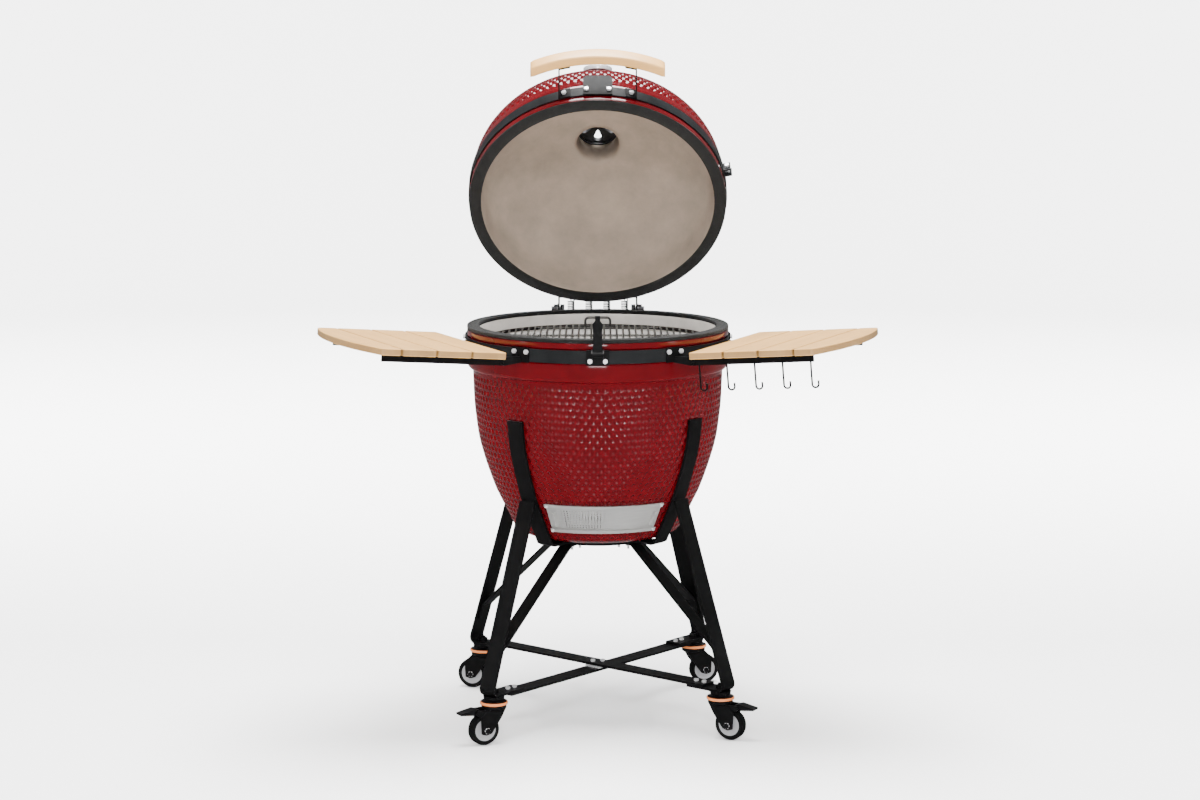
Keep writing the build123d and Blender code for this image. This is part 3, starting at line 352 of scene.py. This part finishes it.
def lathe_surface(profile, columns, depth=None):
    """Points and quads of a closed (radius, height) loop turned about Z."""
    profile = np.asarray(profile, float)
    count = len(profile)
    angles = np.linspace(0, 2 * pi, columns, endpoint=False) - pi / 2
    radius = np.repeat(profile[:, :1], columns, 1)
    height = np.repeat(profile[:, 1:], columns, 1)
    if depth is not None:
        step = np.roll(profile, -1, 0) - np.roll(profile, 1, 0)
        normal = np.stack([step[:, 1], -step[:, 0]], 1)
        normal /= np.linalg.norm(normal, axis=1)[:, None] + 1e-12
        radius = radius - depth * normal[:, :1]
        height = height - depth * normal[:, 1:]
    verts = np.stack([radius * np.cos(angles), radius * np.sin(angles), height], 2).reshape(-1, 3)
    row, col = np.meshgrid(np.arange(count), np.arange(columns), indexing="ij")
    nxt_row, nxt_col = (row + 1) % count, (col + 1) % columns
    quads = np.stack([row * columns + col, row * columns + nxt_col,
                      nxt_row * columns + nxt_col, nxt_row * columns + col], 2).reshape(-1, 4)
    return verts, quads, np.repeat(np.arange(count), columns)


def lathe(name, profile, columns, mats, row_mats=None, depth=None):
    """Ring-like piece: a closed outline that does not touch the axis."""
    verts, quads, rows = lathe_surface(profile, columns, depth)
    face_mats = None if row_mats is None else np.asarray(row_mats)[rows]
    return mesh_object(name, verts, quads.tolist(), mats, face_mats)


def resample(points, step):
    """Even points along a polyline of (radius, height)."""
    points = np.asarray(points, float)
    lengths = np.r_[0, np.cumsum(np.linalg.norm(np.diff(points, axis=0), axis=1))]
    count = max(2, int(round(lengths[-1] / step)) + 1)
    at = np.linspace(0, lengths[-1], count)
    return np.stack([np.interp(at, lengths, points[:, k]) for k in (0, 1)], 1)


def smooth_curve(points, per_span=12):
    """Catmull-Rom curve through a few (radius, height) points."""
    p = np.asarray(points, float)
    p = np.vstack([2 * p[0] - p[1], p, 2 * p[-1] - p[-2]])
    t = np.linspace(0, 1, per_span, endpoint=False)[:, None]
    spans = []
    for a, b, c, d in zip(p[:-3], p[1:-2], p[2:-1], p[3:]):
        spans.append(0.5 * (2 * b + (c - a) * t + (2 * a - 5 * b + 4 * c - d) * t ** 2
                            + (3 * b - a - 3 * c + d) * t ** 3))
    return np.vstack(spans + [p[-2:-1]])


def arc(center, radius, start, end, count=6):
    turn = np.radians(np.linspace(start, end, count))
    return np.stack([center[0] + radius * np.cos(turn), center[1] + radius * np.sin(turn)], 1)


def dimples(profile, columns):
    """Depth of the dimples at each point of a skin, given as rows of (radius, height)."""
    profile = np.asarray(profile, float)
    run = np.r_[0, np.cumsum(np.linalg.norm(np.diff(profile, axis=0), axis=1))]
    angles = np.linspace(0, 2 * pi, columns, endpoint=False)
    rows = int(run[-1] / ROW)
    centres = (np.arange(rows) + 0.5) * ROW + (run[-1] - rows * ROW) / 2
    radii = np.interp(centres, run, profile[:, 0])
    depth = np.zeros((len(profile), columns))
    for index, (centre, radius) in enumerate(zip(centres, radii)):
        near = np.nonzero(np.abs(run - centre) < DIMPLE_R)[0]
        count = max(3, int(round(2 * pi * radius / PITCH)))
        place = angles / (2 * pi) * count + 0.5 * (index % 2)
        across = (place - np.round(place)) * 2 * pi / count
        along = (run[near] - centre)[:, None]
        distance = np.sqrt(along ** 2 + (across[None, :] * profile[near, 0][:, None]) ** 2)
        hollow = np.clip(1 - (distance / DIMPLE_R) ** 2, 0, 1)
        depth[near] = np.maximum(depth[near], DIMPLE_DEPTH * hollow)
    return depth


def tube(points, radius, sides=10):
    """Round tube along points with closed ends, as verts and faces."""
    pts = [Vector(p) for p in points]
    verts, faces = [], []
    side = None
    for k, p in enumerate(pts):
        ahead = pts[min(k + 1, len(pts) - 1)]
        behind = pts[max(k - 1, 0)]
        along = (ahead - behind).normalized()
        if side is None:
            side = along.orthogonal().normalized()
        side = (side - along * side.dot(along)).normalized()
        up = along.cross(side)
        for s in range(sides):
            turn = 2 * pi * s / sides
            verts.append(p + radius * (cos(turn) * side + sin(turn) * up))
    rings = len(pts)
    for k in range(rings - 1):
        a, b = k * sides, (k + 1) * sides
        for s in range(sides):
            faces.append((a + s, a + (s + 1) % sides, b + (s + 1) % sides, b + s))
    faces.append(tuple(range(sides - 1, -1, -1)))
    faces.append(tuple(range((rings - 1) * sides, rings * sides)))
    return verts, faces


def paint(mat, *names):
    """Give CAD nodes a material."""
    for name in names:
        obj = NODES[name]
        obj.data.materials.clear()
        obj.data.materials.append(mat)


# ================================================================ ceramic shells
# (radius, height) in mm; heights of the lid are above its rim
COLLAR_R = 320.0
SEAT_R = 317.0            # under the steel band
INNER_R = 290.0
RIM_EDGE = 3.0            # rounding of each rim
FOOT_Z = 457.0
FOOT = [(128, FOOT_Z), (150, 458.5), (176, 463.5), (196, 472)]
CONE = [(206.0, 482.0), (250.0, 570.0)]
BELLY = [(264.0, 607.0), (279.0, 652.0), (291.0, 697.0), (298.0, 742.0), (303.0, 790.0), (305.0, 835.0)]
BELLY_TOP = (306, 868.5)
LEDGE = [(306.2, 869.3), (311.5, 871.2), (316.6, 875.6), (319.3, 881), (COLLAR_R, 888)]
BASE_SEAT = (912, 957)
BOWL_IN = [(INNER_R, 955), (288, 920), (279, 860), (272, 780), (266, 730), (250, 670), (232, 610),
           (215, 560), (190, 502), (160, 486), (110, 482.4)]
INNER_FLOOR = 482.0
DIMPLES_FROM = 472.0      # lowest row of dimples
MOUTH_TURN = radians(4)
MOUTH_AT = (0, -0.22, 0.531)
MOUTH_SIZE = (0.17, 0.14, 0.042, 1)

LID_SEAT = (12, 57)
LID_LEDGE = [(COLLAR_R, 64), (319.4, 68), (317.4, 70.5), (316, 72)]
DOME_R, DOME_RISE, DOME_Z = 316, 218, 75
DOME_IN_RISE, DOME_IN_Z = 183, 60
NECK_R, BORE_R, NECK_TOP = 75, 55, 310
DIMPLES_TO_R = 92         # the skin is smooth inside this radius, round the neck
INSIDE_STEP = 14.0
FELT_EDGE = 1.6
FELT_NAP = 0.25
FELT_COLUMNS = 480


def groove(low, high):
    """Shallow seat of a steel band, with rolled edges."""
    half = [(COLLAR_R, 0), (COLLAR_R - 0.4, 3), (SEAT_R + 0.4, 6), (SEAT_R, 8)]
    lower = [(r, low + z) for r, z in half]
    upper = [(r, high - z) for r, z in reversed(half)]
    return smooth_curve(lower + upper, 4)


def bowl_profile():
    """Outer skin from the foot up to the rim, then down the inside."""
    foot = smooth_curve([*FOOT, CONE[0]], 8)
    belly = smooth_curve([CONE[1], *BELLY, BELLY_TOP], 20)
    skin = resample(np.vstack([foot, resample(CONE, 2.5), belly]), FINE / MM)
    top = RIM_Z / MM - RIM_EDGE
    rim = np.vstack([arc((COLLAR_R - RIM_EDGE, top), RIM_EDGE, 0, 90),
                     arc((INNER_R + RIM_EDGE, top), RIM_EDGE, 90, 180)])
    inside = resample(smooth_curve(BOWL_IN, 8), INSIDE_STEP)
    return skin, np.vstack([smooth_curve(LEDGE, 5), groove(*BASE_SEAT), rim, inside])


def bowl():
    """Glazed outside with dimples, bare clay inside, closed by a fan at the foot and at the floor."""
    skin, rest = bowl_profile()
    loop = np.vstack([skin, rest]) * MM
    depth = np.zeros((len(loop), COLUMNS))
    start = int(np.searchsorted(skin[:, 1], DIMPLES_FROM))
    stop = len(skin) - 2
    depth[start:stop] = dimples(loop[start:stop], COLUMNS)
    verts, quads, rows = lathe_surface(loop, COLUMNS, depth)
    last = (len(loop) - 1) * COLUMNS
    quads = quads[:last].tolist()
    verts = np.vstack([verts, [(0, 0, FOOT_Z * MM), (0, 0, INNER_FLOOR * MM)]])
    under, floor = len(verts) - 2, len(verts) - 1
    for c in range(COLUMNS):
        nxt = (c + 1) % COLUMNS
        quads.append((under, nxt, c))
        quads.append((floor, last + c, last + nxt))
    clay_from = len(skin) + int(np.argmax(rest[:, 1])) + 2
    face_mats = [int(r >= clay_from) for r in rows[:last]] + [0, 1] * COLUMNS
    obj = mesh_object("bowl_shell", verts, quads, [RED, BOWL_CLAY], face_mats)
    cut_mouth(obj)
    return finish_piece(obj, "base", "glazed_shell", "bowl")


def cut_mouth(obj):
    """Open the draft mouth through the bowl's wall."""
    bpy.ops.mesh.primitive_cube_add(size=1)
    tool = bpy.context.object
    tool.data.transform(Matrix.Rotation(MOUTH_TURN, 4, "Z") @ Matrix.Translation(MOUTH_AT)
                        @ Matrix.Diagonal(MOUTH_SIZE))
    mod = obj.modifiers.new("mouth", "BOOLEAN")
    mod.operation = "DIFFERENCE"
    mod.solver = "MANIFOLD"
    mod.object = tool
    bpy.context.view_layer.update()
    cut = bpy.data.meshes.new_from_object(obj.evaluated_get(bpy.context.evaluated_depsgraph_get()))
    obj.modifiers.clear()
    obj.data = cut
    bpy.data.objects.remove(tool)


def ellipse(radius, rise, centre, end_r, step):
    """Quarter ellipse from its widest point up to end_r."""
    last = np.arccos(end_r / radius)
    t = np.linspace(0, last, 200)
    return resample(np.stack([radius * np.cos(t), centre + rise * np.sin(t)], 1), step)


def lid_profile():
    """Rounded rim, collar with the band's seat, dimpled dome, chimney neck and the inside of the dome."""
    z = LID_Z / MM
    rim = np.vstack([arc((INNER_R + RIM_EDGE, z + RIM_EDGE), RIM_EDGE, 180, 270),
                     arc((COLLAR_R - RIM_EDGE, z + RIM_EDGE), RIM_EDGE, 270, 360)])
    ledge = smooth_curve([(r, z + up) for r, up in LID_LEDGE], 4)
    collar = np.vstack([groove(z + LID_SEAT[0], z + LID_SEAT[1]), ledge])
    skin = ellipse(DOME_R, DOME_RISE, z + DOME_Z, NECK_R + 1, FINE / MM)
    neck_foot = smooth_curve([(NECK_R + 0.6, skin[-1, 1] + 1.5), (NECK_R, z + NECK_TOP - 18)], 3)
    top = z + NECK_TOP
    lip = [(NECK_R, top - 2), (NECK_R - 2, top), (BORE_R + 2, top), (BORE_R, top - 2)]
    neck = np.vstack([neck_foot, lip, [(BORE_R, top - 50)]])
    inner = ellipse(INNER_R, DOME_IN_RISE, z + DOME_IN_Z, BORE_R, 12)[::-1]
    return rim, collar, skin, neck, np.vstack([inner, [(INNER_R, z + DOME_IN_Z / 2)]])


def lid():
    """Glazed dome with dimples, bare clay inside and on the rim."""
    rim, collar, skin, neck, inner = lid_profile()
    loop = np.vstack([rim, collar, skin, neck, inner]) * MM
    depth = np.zeros((len(loop), COLUMNS))
    start = len(rim) + len(collar)
    stop = start + int(np.argmax(skin[:, 0] < DIMPLES_TO_R))
    depth[start:stop] = dimples(loop[start:stop], COLUMNS)
    clay_from = start + len(skin) + len(neck) - 2
    row_mats = [1 if r < 3 or r >= clay_from else 0 for r in range(len(loop))]
    obj = lathe("lid_shell", loop, COLUMNS, [RED, LID_CLAY], row_mats, depth)
    return finish_piece(obj, "lid", "glazed_shell", "lid", matrix=OPEN)


def gasket(name, z_low, z_high, body, matrix=None):
    """Felt ring with soft edges and a slightly uneven nap."""
    rng = np.random.default_rng(7)
    r = FELT_EDGE
    low, high = z_low / MM, z_high / MM
    edge_out, edge_in = RIM_R / MM - r, WALL_R / MM + r
    loop = np.vstack([arc((edge_out, low + r), r, -90, 0, 4), arc((edge_out, high - r), r, 0, 90, 4),
                      resample([(edge_out - 2, high), (edge_in + 2, high)], 4),
                      arc((edge_in, high - r), r, 90, 180, 4), arc((edge_in, low + r), r, 180, 270, 4)]) * MM
    depth = rng.random((len(loop), FELT_COLUMNS)) * FELT_NAP * MM
    obj = lathe(name, loop, FELT_COLUMNS, [FELT], None, depth)
    return finish_piece(obj, body, "felt_gasket", name.replace("_felt", "_gasket"), matrix=matrix)


bowl()
lid()
gasket("base_felt", RIM_Z, RIM_Z + BASE_FELT - FELT_GAP, "base")
gasket("lid_felt", LID_Z - LID_FELT + FELT_GAP, LID_Z, "lid", OPEN)


# ================================================================ bamboo
def rounded_board(outline, low, high, inset):
    """Board of a (u, v) outline with eased edges."""
    count = len(outline)
    layers = [(low, inset), (low + 0.3 * inset, 0.3 * inset), (low + inset, 0.0),
              (high - inset, 0.0), (high - 0.3 * inset, 0.3 * inset), (high, inset)]
    verts, faces = [], []
    for z, shrink in layers:
        for k, p in enumerate(outline):
            before, after = outline[k - 1], outline[(k + 1) % count]
            edge = np.subtract(after, before)
            inward = np.array([-edge[1], edge[0]]) / (np.hypot(*edge) + 1e-9)
            verts.append((*(np.asarray(p) + inward * shrink), z))
    for layer in range(len(layers) - 1):
        a, b = layer * count, (layer + 1) * count
        for k in range(count):
            nxt = (k + 1) % count
            faces.append((a + k, a + nxt, b + nxt, b + k))
    faces.append(tuple(range(count - 1, -1, -1)))
    faces.append(tuple(range((len(layers) - 1) * count, len(layers) * count)))
    return verts, faces


def corner(points, radius, steps=4):
    """Round the corners of a counter-clockwise outline."""
    out = []
    count = len(points)
    for k, p in enumerate(points):
        p = np.asarray(p, float)
        a, b = np.asarray(points[k - 1]) - p, np.asarray(points[(k + 1) % count]) - p
        if radius[k] == 0:
            out.append(tuple(p))
            continue
        start, end = p + a / np.hypot(*a) * radius[k], p + b / np.hypot(*b) * radius[k]
        for t in np.linspace(0, 1, steps + 1):
            out.append(tuple((1 - t) ** 2 * start + 2 * t * (1 - t) * p + t ** 2 * end))
    return out


PIVOT_U, PIVOT_Z = 322.0, 921.0
SHELF_HALF, SHELF_IN, SHELF_CORNER, SHELF_OUT = 222.0, 340.0, 650.0, 685.0
SLAT_PITCH, SLAT_GAP = 87.5, 5.0
SLAT_ROUND, TIP_ROUND, SLAT_EASE = 3, 14, 1.6
SHELF_TILT = radians(-5)
SLAT_LOW, SLAT_HIGH = PIVOT_Z + 10.1, PIVOT_Z + 26.1
BOW_R = (SHELF_HALF ** 2 + (SHELF_OUT - SHELF_CORNER) ** 2) / (2 * (SHELF_OUT - SHELF_CORNER))


def slat_outlines():
    """Three plain slats and an outer one with a bowed end, in (u, v) from the pivot's side outwards."""
    outlines = []
    for k in range(4):
        u = SHELF_IN + SLAT_PITCH * k
        if k < 3:
            far = u + SLAT_PITCH - SLAT_GAP
            points = [(u, -SHELF_HALF), (far, -SHELF_HALF), (far, SHELF_HALF), (u, SHELF_HALF)]
            outlines.append(corner(points, [SLAT_ROUND] * 4))
        else:
            half = np.arcsin(SHELF_HALF / BOW_R)
            bow = [(SHELF_OUT - BOW_R + BOW_R * cos(t), BOW_R * sin(t)) for t in np.linspace(-half, half, 25)]
            points = [(u, -SHELF_HALF), *bow, (u, SHELF_HALF)]
            outlines.append(corner(points, [SLAT_ROUND, TIP_ROUND, *[0] * 23, TIP_ROUND, SLAT_ROUND]))
    return outlines


def shelf(side, turn):
    """Four slats of one shelf, their sides darkened with painted shade."""
    tilt = Matrix.Translation((PIVOT_U, 0, PIVOT_Z)) @ Matrix.Rotation(SHELF_TILT, 4, "Y")
    tilt = tilt @ Matrix.Translation((-PIVOT_U, 0, -PIVOT_Z))
    place = Matrix.Scale(MM, 4) @ Matrix.Rotation(turn, 4, "Z") @ tilt
    verts, faces = [], []
    for outline in slat_outlines():
        v, f = rounded_board(outline, SLAT_LOW, SLAT_HIGH, SLAT_EASE)
        faces += [tuple(i + len(verts) for i in face) for face in f]
        verts += v
    # faces that stand up, the slats' sides, take the darker bamboo copy: painted shade
    cut = [int(len(f) == 4 and abs(verts[f[0]][2] - verts[f[2]][2]) > 5) for f in faces]
    obj = mesh_object(side + "_slats", verts, faces, [BAMBOO[side], SHADED_SIDES[side]], cut, smooth=False)
    return finish_piece(obj, side + "_shelf", "bamboo", side + "_shelf_slats", matrix=place)


shelf("left", LEFT_TURN)
shelf("right", RIGHT_TURN)


GRIP_R, GRIP_REACH, GRIP_HALF = 380.0, 413.0, 163.0
GRIP_W, GRIP_H = 26.0, 35.0
GRIP_UP = 65.5            # middle of the grip above the lid's rim
GRIP_ROUND = 6
GRIP_TAPER, TAPER_FROM = 0.12, 0.96


def handle():
    """Bent bamboo grip: a rounded bar on an arc, drawn in a little at both ends."""
    middle_r, middle_z = GRIP_R - GRIP_W / 2, LID_Z / MM + GRIP_UP
    u, v = GRIP_W / 2, GRIP_H / 2
    section = corner([(-u, -v), (u, -v), (u, v), (-u, v)], [GRIP_ROUND] * 4, 5)
    verts, faces = [], []
    stations = 41
    for t in np.linspace(-1, 1, stations):
        ease = 1 - GRIP_TAPER * max(0.0, abs(t) - TAPER_FROM) / (1 - TAPER_FROM)
        x = GRIP_HALF * t
        for u, v in section:
            radius = middle_r + u * ease
            verts.append((x, GRIP_R - GRIP_REACH - sqrt(radius ** 2 - x ** 2), middle_z + v * ease))
    count = len(section)
    for k in range(stations - 1):
        a, b = k * count, (k + 1) * count
        for s in range(count):
            faces.append((a + s, b + s, b + (s + 1) % count, a + (s + 1) % count))
    faces.append(tuple(range(count)))
    faces.append(tuple(range(stations * count - 1, (stations - 1) * count - 1, -1)))
    obj = mesh_object("handle_grip", verts, faces, [BAMBOO["handle"]])
    return finish_piece(obj, "lid", "bamboo", "handle", matrix=OPEN @ Matrix.Scale(MM, 4))


handle()


# ================================================================ springs
SPRING_X = (-69, -23, 23, 69)
COIL_R, WIRE_R, TURNS = 8.2 * MM, 1.45 * MM, 27
TURN_STEPS = 16


def springs():
    """Four coils with a hook at each end, stretched between the base and the lid."""
    low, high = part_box("hinge_springs")
    y = (low.y + high.y) / 2
    steps = TURNS * TURN_STEPS
    verts, faces = [], []
    for x in SPRING_X:
        lines = [[(x * MM + COIL_R * cos(2 * pi * k / TURN_STEPS), y + COIL_R * sin(2 * pi * k / TURN_STEPS),
                   low.z + (high.z - low.z) * k / steps) for k in range(steps + 1)]]
        for end, flip in ((high.z, 1), (low.z, -1)):
            hook = []
            for t in np.linspace(0, pi, 9):
                reach = COIL_R * cos(t) * (1 - abs(t) / pi)
                hook.append((x * MM + reach, y, end + flip * COIL_R * sin(t) * 1.3))
            lines.append(hook)
        for line in lines:
            v, f = tube(line, WIRE_R, 7)
            faces += [tuple(i + len(verts) for i in face) for face in f]
            verts += v
    obj = mesh_object("coil_springs", verts, faces, [SPRING])
    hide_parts("hinge_springs")
    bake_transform(obj)


springs()


# ================================================================ thermometer
DIAL_ANGLE = radians(42)  # up the dome from its widest ring
DIAL_R, DIAL_Z, DIAL_T = 30.4, 12.5, 0.4
MARK_Z = (13.0, 13.4)
SCALE_MARKS = 21


def thermometer_seat():
    """Place on the front of the dome, with +Z along the dome's normal."""
    radius, rise, centre = DOME_R * MM, DOME_RISE * MM, LID_Z + DOME_Z * MM
    y, up = -radius * cos(DIAL_ANGLE), rise * sin(DIAL_ANGLE)
    normal = Vector((0, y / radius ** 2, up / rise ** 2)).normalized()
    turned = normal.to_track_quat("Z", "Y").to_matrix().to_4x4()
    return OPEN @ Matrix.Translation((0, y, centre + up)) @ turned


def thermometer():
    """Bezel, dial, ticks and needle on the front of the dome."""
    seat = thermometer_seat()
    bezel = np.vstack([[(18, 1.2)], [(34, 4.2)], arc((34, 6), 1.8, -80, 0, 4), arc((33, 13), 3, 0, 90, 5),
                       [(31, 15.6), (30.2, 12.4), (18, 12.2)]]) * MM
    ring = lathe("thermometer_bezel", bezel, 64, [BOLT])
    finish_piece(ring, "lid", "thermometer_case", "thermometer", matrix=seat)
    top = DIAL_Z + DIAL_T
    disc = np.array([(0.4, DIAL_Z), (DIAL_R, DIAL_Z), (DIAL_R, top), (0.4, top)]) * MM
    face = lathe("thermometer_dial", disc, 64, [DIAL])
    finish_piece(face, "lid", "thermometer_case", matrix=seat)
    verts, faces = [], []
    for turn, start, end, half in dial_marks():
        along, across = Vector((sin(turn), cos(turn), 0)), Vector((cos(turn), -sin(turn), 0))
        base = len(verts)
        for height in MARK_Z:
            for reach, side in ((start, -1), (start, 1), (end, 1), (end, -1)):
                verts.append((along * reach + across * side * half + Vector((0, 0, height))) * MM)
        quads = [(0, 1, 2, 3), (7, 6, 5, 4), (0, 4, 5, 1), (1, 5, 6, 2), (2, 6, 7, 3), (3, 7, 4, 0)]
        faces += [tuple(base + i for i in q) for q in quads]
    ink = mesh_object("thermometer_marks", verts, faces, [INK], smooth=False)
    finish_piece(ink, "lid", "thermometer_case", matrix=seat)


def dial_marks():
    """Ticks round the scale and the needle, as (turn, start, end, half width)."""
    marks = []
    for k in range(SCALE_MARKS):
        turn = radians(-130 + 260 * k / (SCALE_MARKS - 1))
        long_tick = k % 5 == 0
        marks.append((turn, 21.0 if long_tick else 24.0, 28.0, 0.9 if long_tick else 0.5))
    return marks + [(radians(-95), -6.0, 22.0, 1.0)]


thermometer()


# ================================================================ casters
RING_R, RING_ROUND = 32.2, 1.4
RING_Z = (98, 101.8)
HEAD_SEAT = 20.55 * MM    # outer face of a fork cheek from the wheel's middle
HEAD_R = 7.5 * MM
HEAD_T = 2.8 * MM


def swivel_rings():
    """Orange dust ring round each caster's swivel."""
    for name in CORNERS:
        x, y, _ = JOINTS["swivel_" + name]["pos_m"]
        inner = RING_R - 2.6
        ring = np.vstack([arc((RING_R, RING_Z[0]), RING_ROUND, -90, 0, 4),
                          arc((RING_R, RING_Z[1]), RING_ROUND, 0, 90, 4),
                          [(inner, RING_Z[1] + RING_ROUND), (inner, RING_Z[0] - RING_ROUND)]]) * MM
        obj = lathe("swivel_ring_" + name, ring, 48, [ORANGE])
        finish_piece(obj, "caster_" + name, "caster_fork", matrix=Matrix.Translation((x, y, 0)))


def hex_head(name, place, axis, body):
    """Hexagon bolt head with a turned face, standing on its place along the axis."""
    verts, faces = [], []
    turned = Vector(axis).to_track_quat("Z", "Y").to_matrix()
    for shrink, level in ((1.0, 0.0), (1.0, 0.75), (0.86, 1.0)):
        for k in range(6):
            turn = k * pi / 3
            radius = HEAD_R * shrink
            spot = Vector((radius * cos(turn), radius * sin(turn), HEAD_T * level))
            verts.append(Vector(place) + turned @ spot)
    for a in (0, 6):
        faces += [(a + k, a + (k + 1) % 6, a + 6 + (k + 1) % 6, a + 6 + k) for k in range(6)]
    faces.append(tuple(range(5, -1, -1)))
    faces.append(tuple(range(12, 18)))
    obj = mesh_object(name, verts, faces, [BOLT], smooth=False)
    return finish_piece(obj, body, "bright_bolts")


def axle_heads():
    """Bright bolt head on each side of a caster's fork."""
    for name in CORNERS:
        low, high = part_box("hub_" + name)
        axis = Vector(JOINTS["roll_" + name]["axis"]).normalized()
        for side, way in (("outer", 1), ("inner", -1)):
            seat = (low + high) / 2 + way * HEAD_SEAT * axis
            hex_head("axle_" + side + "_" + name, seat, way * axis, "caster_" + name)


swivel_rings()
axle_heads()


# ================================================================ CAD nodes that keep their shape
paint(FIRE, "fire_box", "fire_box_panels", "fire_ring")
paint(IRON, "charcoal_grate", "vent_collar", "vent_cap", "daisy_wheel")
paint(BAND, "base_band", "lid_band")
paint(SHEET, "draft_frame", "draft_screen", "draft_door")
paint(GRID, "cooking_grate", "grate_handles")
paint(BOLT, "base_bolts", "lid_bolts", "frame_bolts")
paint(NUT, "hinge_pivots")
paint(BLACK, "hinge_base", "lid_hinge", "latch_base", "latch_lever", "catch_plate", "shelf_brackets",
      "cradle_arms", "struts", "centre_plate", "braces", "handle_brackets", "left_shelf_arms",
      "right_shelf_arms", "tool_hooks")
for name in CORNERS:
    paint(BLACK, "leg_" + name)
    paint(FORK, "fork_" + name)
    paint(TYRE, "tyre_" + name)
    paint(HUB, "hub_" + name)
paint(FORK, "brake_pedal_front_left", "brake_pedal_front_right", "caster_stems")


# ================================================================ floor, light, camera
FLOOR_R, SWEEP_R, WALL_TOP = 9, 5, 14
FLOOR_COLUMNS = 96
LENS = 85.26
CAMERA_AT = (0.0056, -6.915, 1.8058)
CAMERA_DIP = 0.1463       # radians below level
WALL_POWERS = (4400, 1300, 1300, 1300)


def floor():
    """Pale round floor that sweeps up into a wall all round, far from the grill."""
    sweep = [(FLOOR_R + SWEEP_R * sin(t), SWEEP_R - SWEEP_R * cos(t)) for t in np.linspace(0.1, pi / 2, 12)]
    profile = [(0.0002, 0), (4, 0), (FLOOR_R, 0), *sweep, (FLOOR_R + SWEEP_R, WALL_TOP)]
    verts, quads, _ = lathe_surface(profile, FLOOR_COLUMNS)
    pale = new_material("pale_floor", (0.93, 0.93, 0.93), 0.6)
    bump(pale, noise(pale, coords(pale), 300), 0.03, 0.0005)
    obj = mesh_object("floor", verts, quads[:(len(profile) - 1) * FLOOR_COLUMNS].tolist(), [pale])
    obj.visible_glossy = False


def area_light(name, place, target, size, power):
    data = bpy.data.lights.new(name, "AREA")
    data.shape = "RECTANGLE"
    data.size, data.size_y = size
    data.energy = power
    obj = bpy.data.objects.new(name, data)
    bpy.context.scene.collection.objects.link(obj)
    obj.location = place
    obj.rotation_euler = (Vector(target) - Vector(place)).to_track_quat("-Z", "Y").to_euler()


def lights():
    """A high softbox, two in front, a strip at each side, and a wash on each quarter of the wall."""
    area_light("overhead", (0, 0, 5.0), (0, 0, 0), (2.6, 2.6), 1050)
    for side, power in enumerate(WALL_POWERS):
        away = Matrix.Rotation(side * pi / 2, 3, "Z")
        place, target = away @ Vector((0, 3.0, 5.0)), away @ Vector((0, 11, 1.5))
        area_light("wall_wash_%d" % side, place, target, (12, 2), power)
    area_light("front_high", (0, -5.6, 3.6), (0, 0, 0.9), (1.0, 0.7), 190)
    area_light("front_low", (0, -7.6, 0.95), (0, 0, 0.7), (2.0, 0.9), 110)
    area_light("left_wall", (-3.6, -1.6, 1.6), (0, 0, 0.8), (0.3, 1.6), 16)
    area_light("right_wall", (3.6, -1.6, 1.6), (0, 0, 0.8), (0.3, 1.6), 26)


def world_light(strength):
    world = bpy.data.worlds.new("studio")
    bpy.context.scene.world = world
    world.use_nodes = True
    backdrop = world.node_tree.nodes["Background"]
    backdrop.inputs["Color"].default_value = (1, 1, 1, 1)
    backdrop.inputs["Strength"].default_value = strength


def camera():
    data = bpy.data.cameras.new("camera")
    data.lens = LENS
    data.clip_end = 200
    obj = bpy.data.objects.new("camera", data)
    bpy.context.scene.collection.objects.link(obj)
    obj.location = CAMERA_AT
    obj.rotation_euler = (pi / 2 - CAMERA_DIP, 0, 0)
    bpy.context.scene.camera = obj


floor()
world_light(0.34)
lights()
camera()
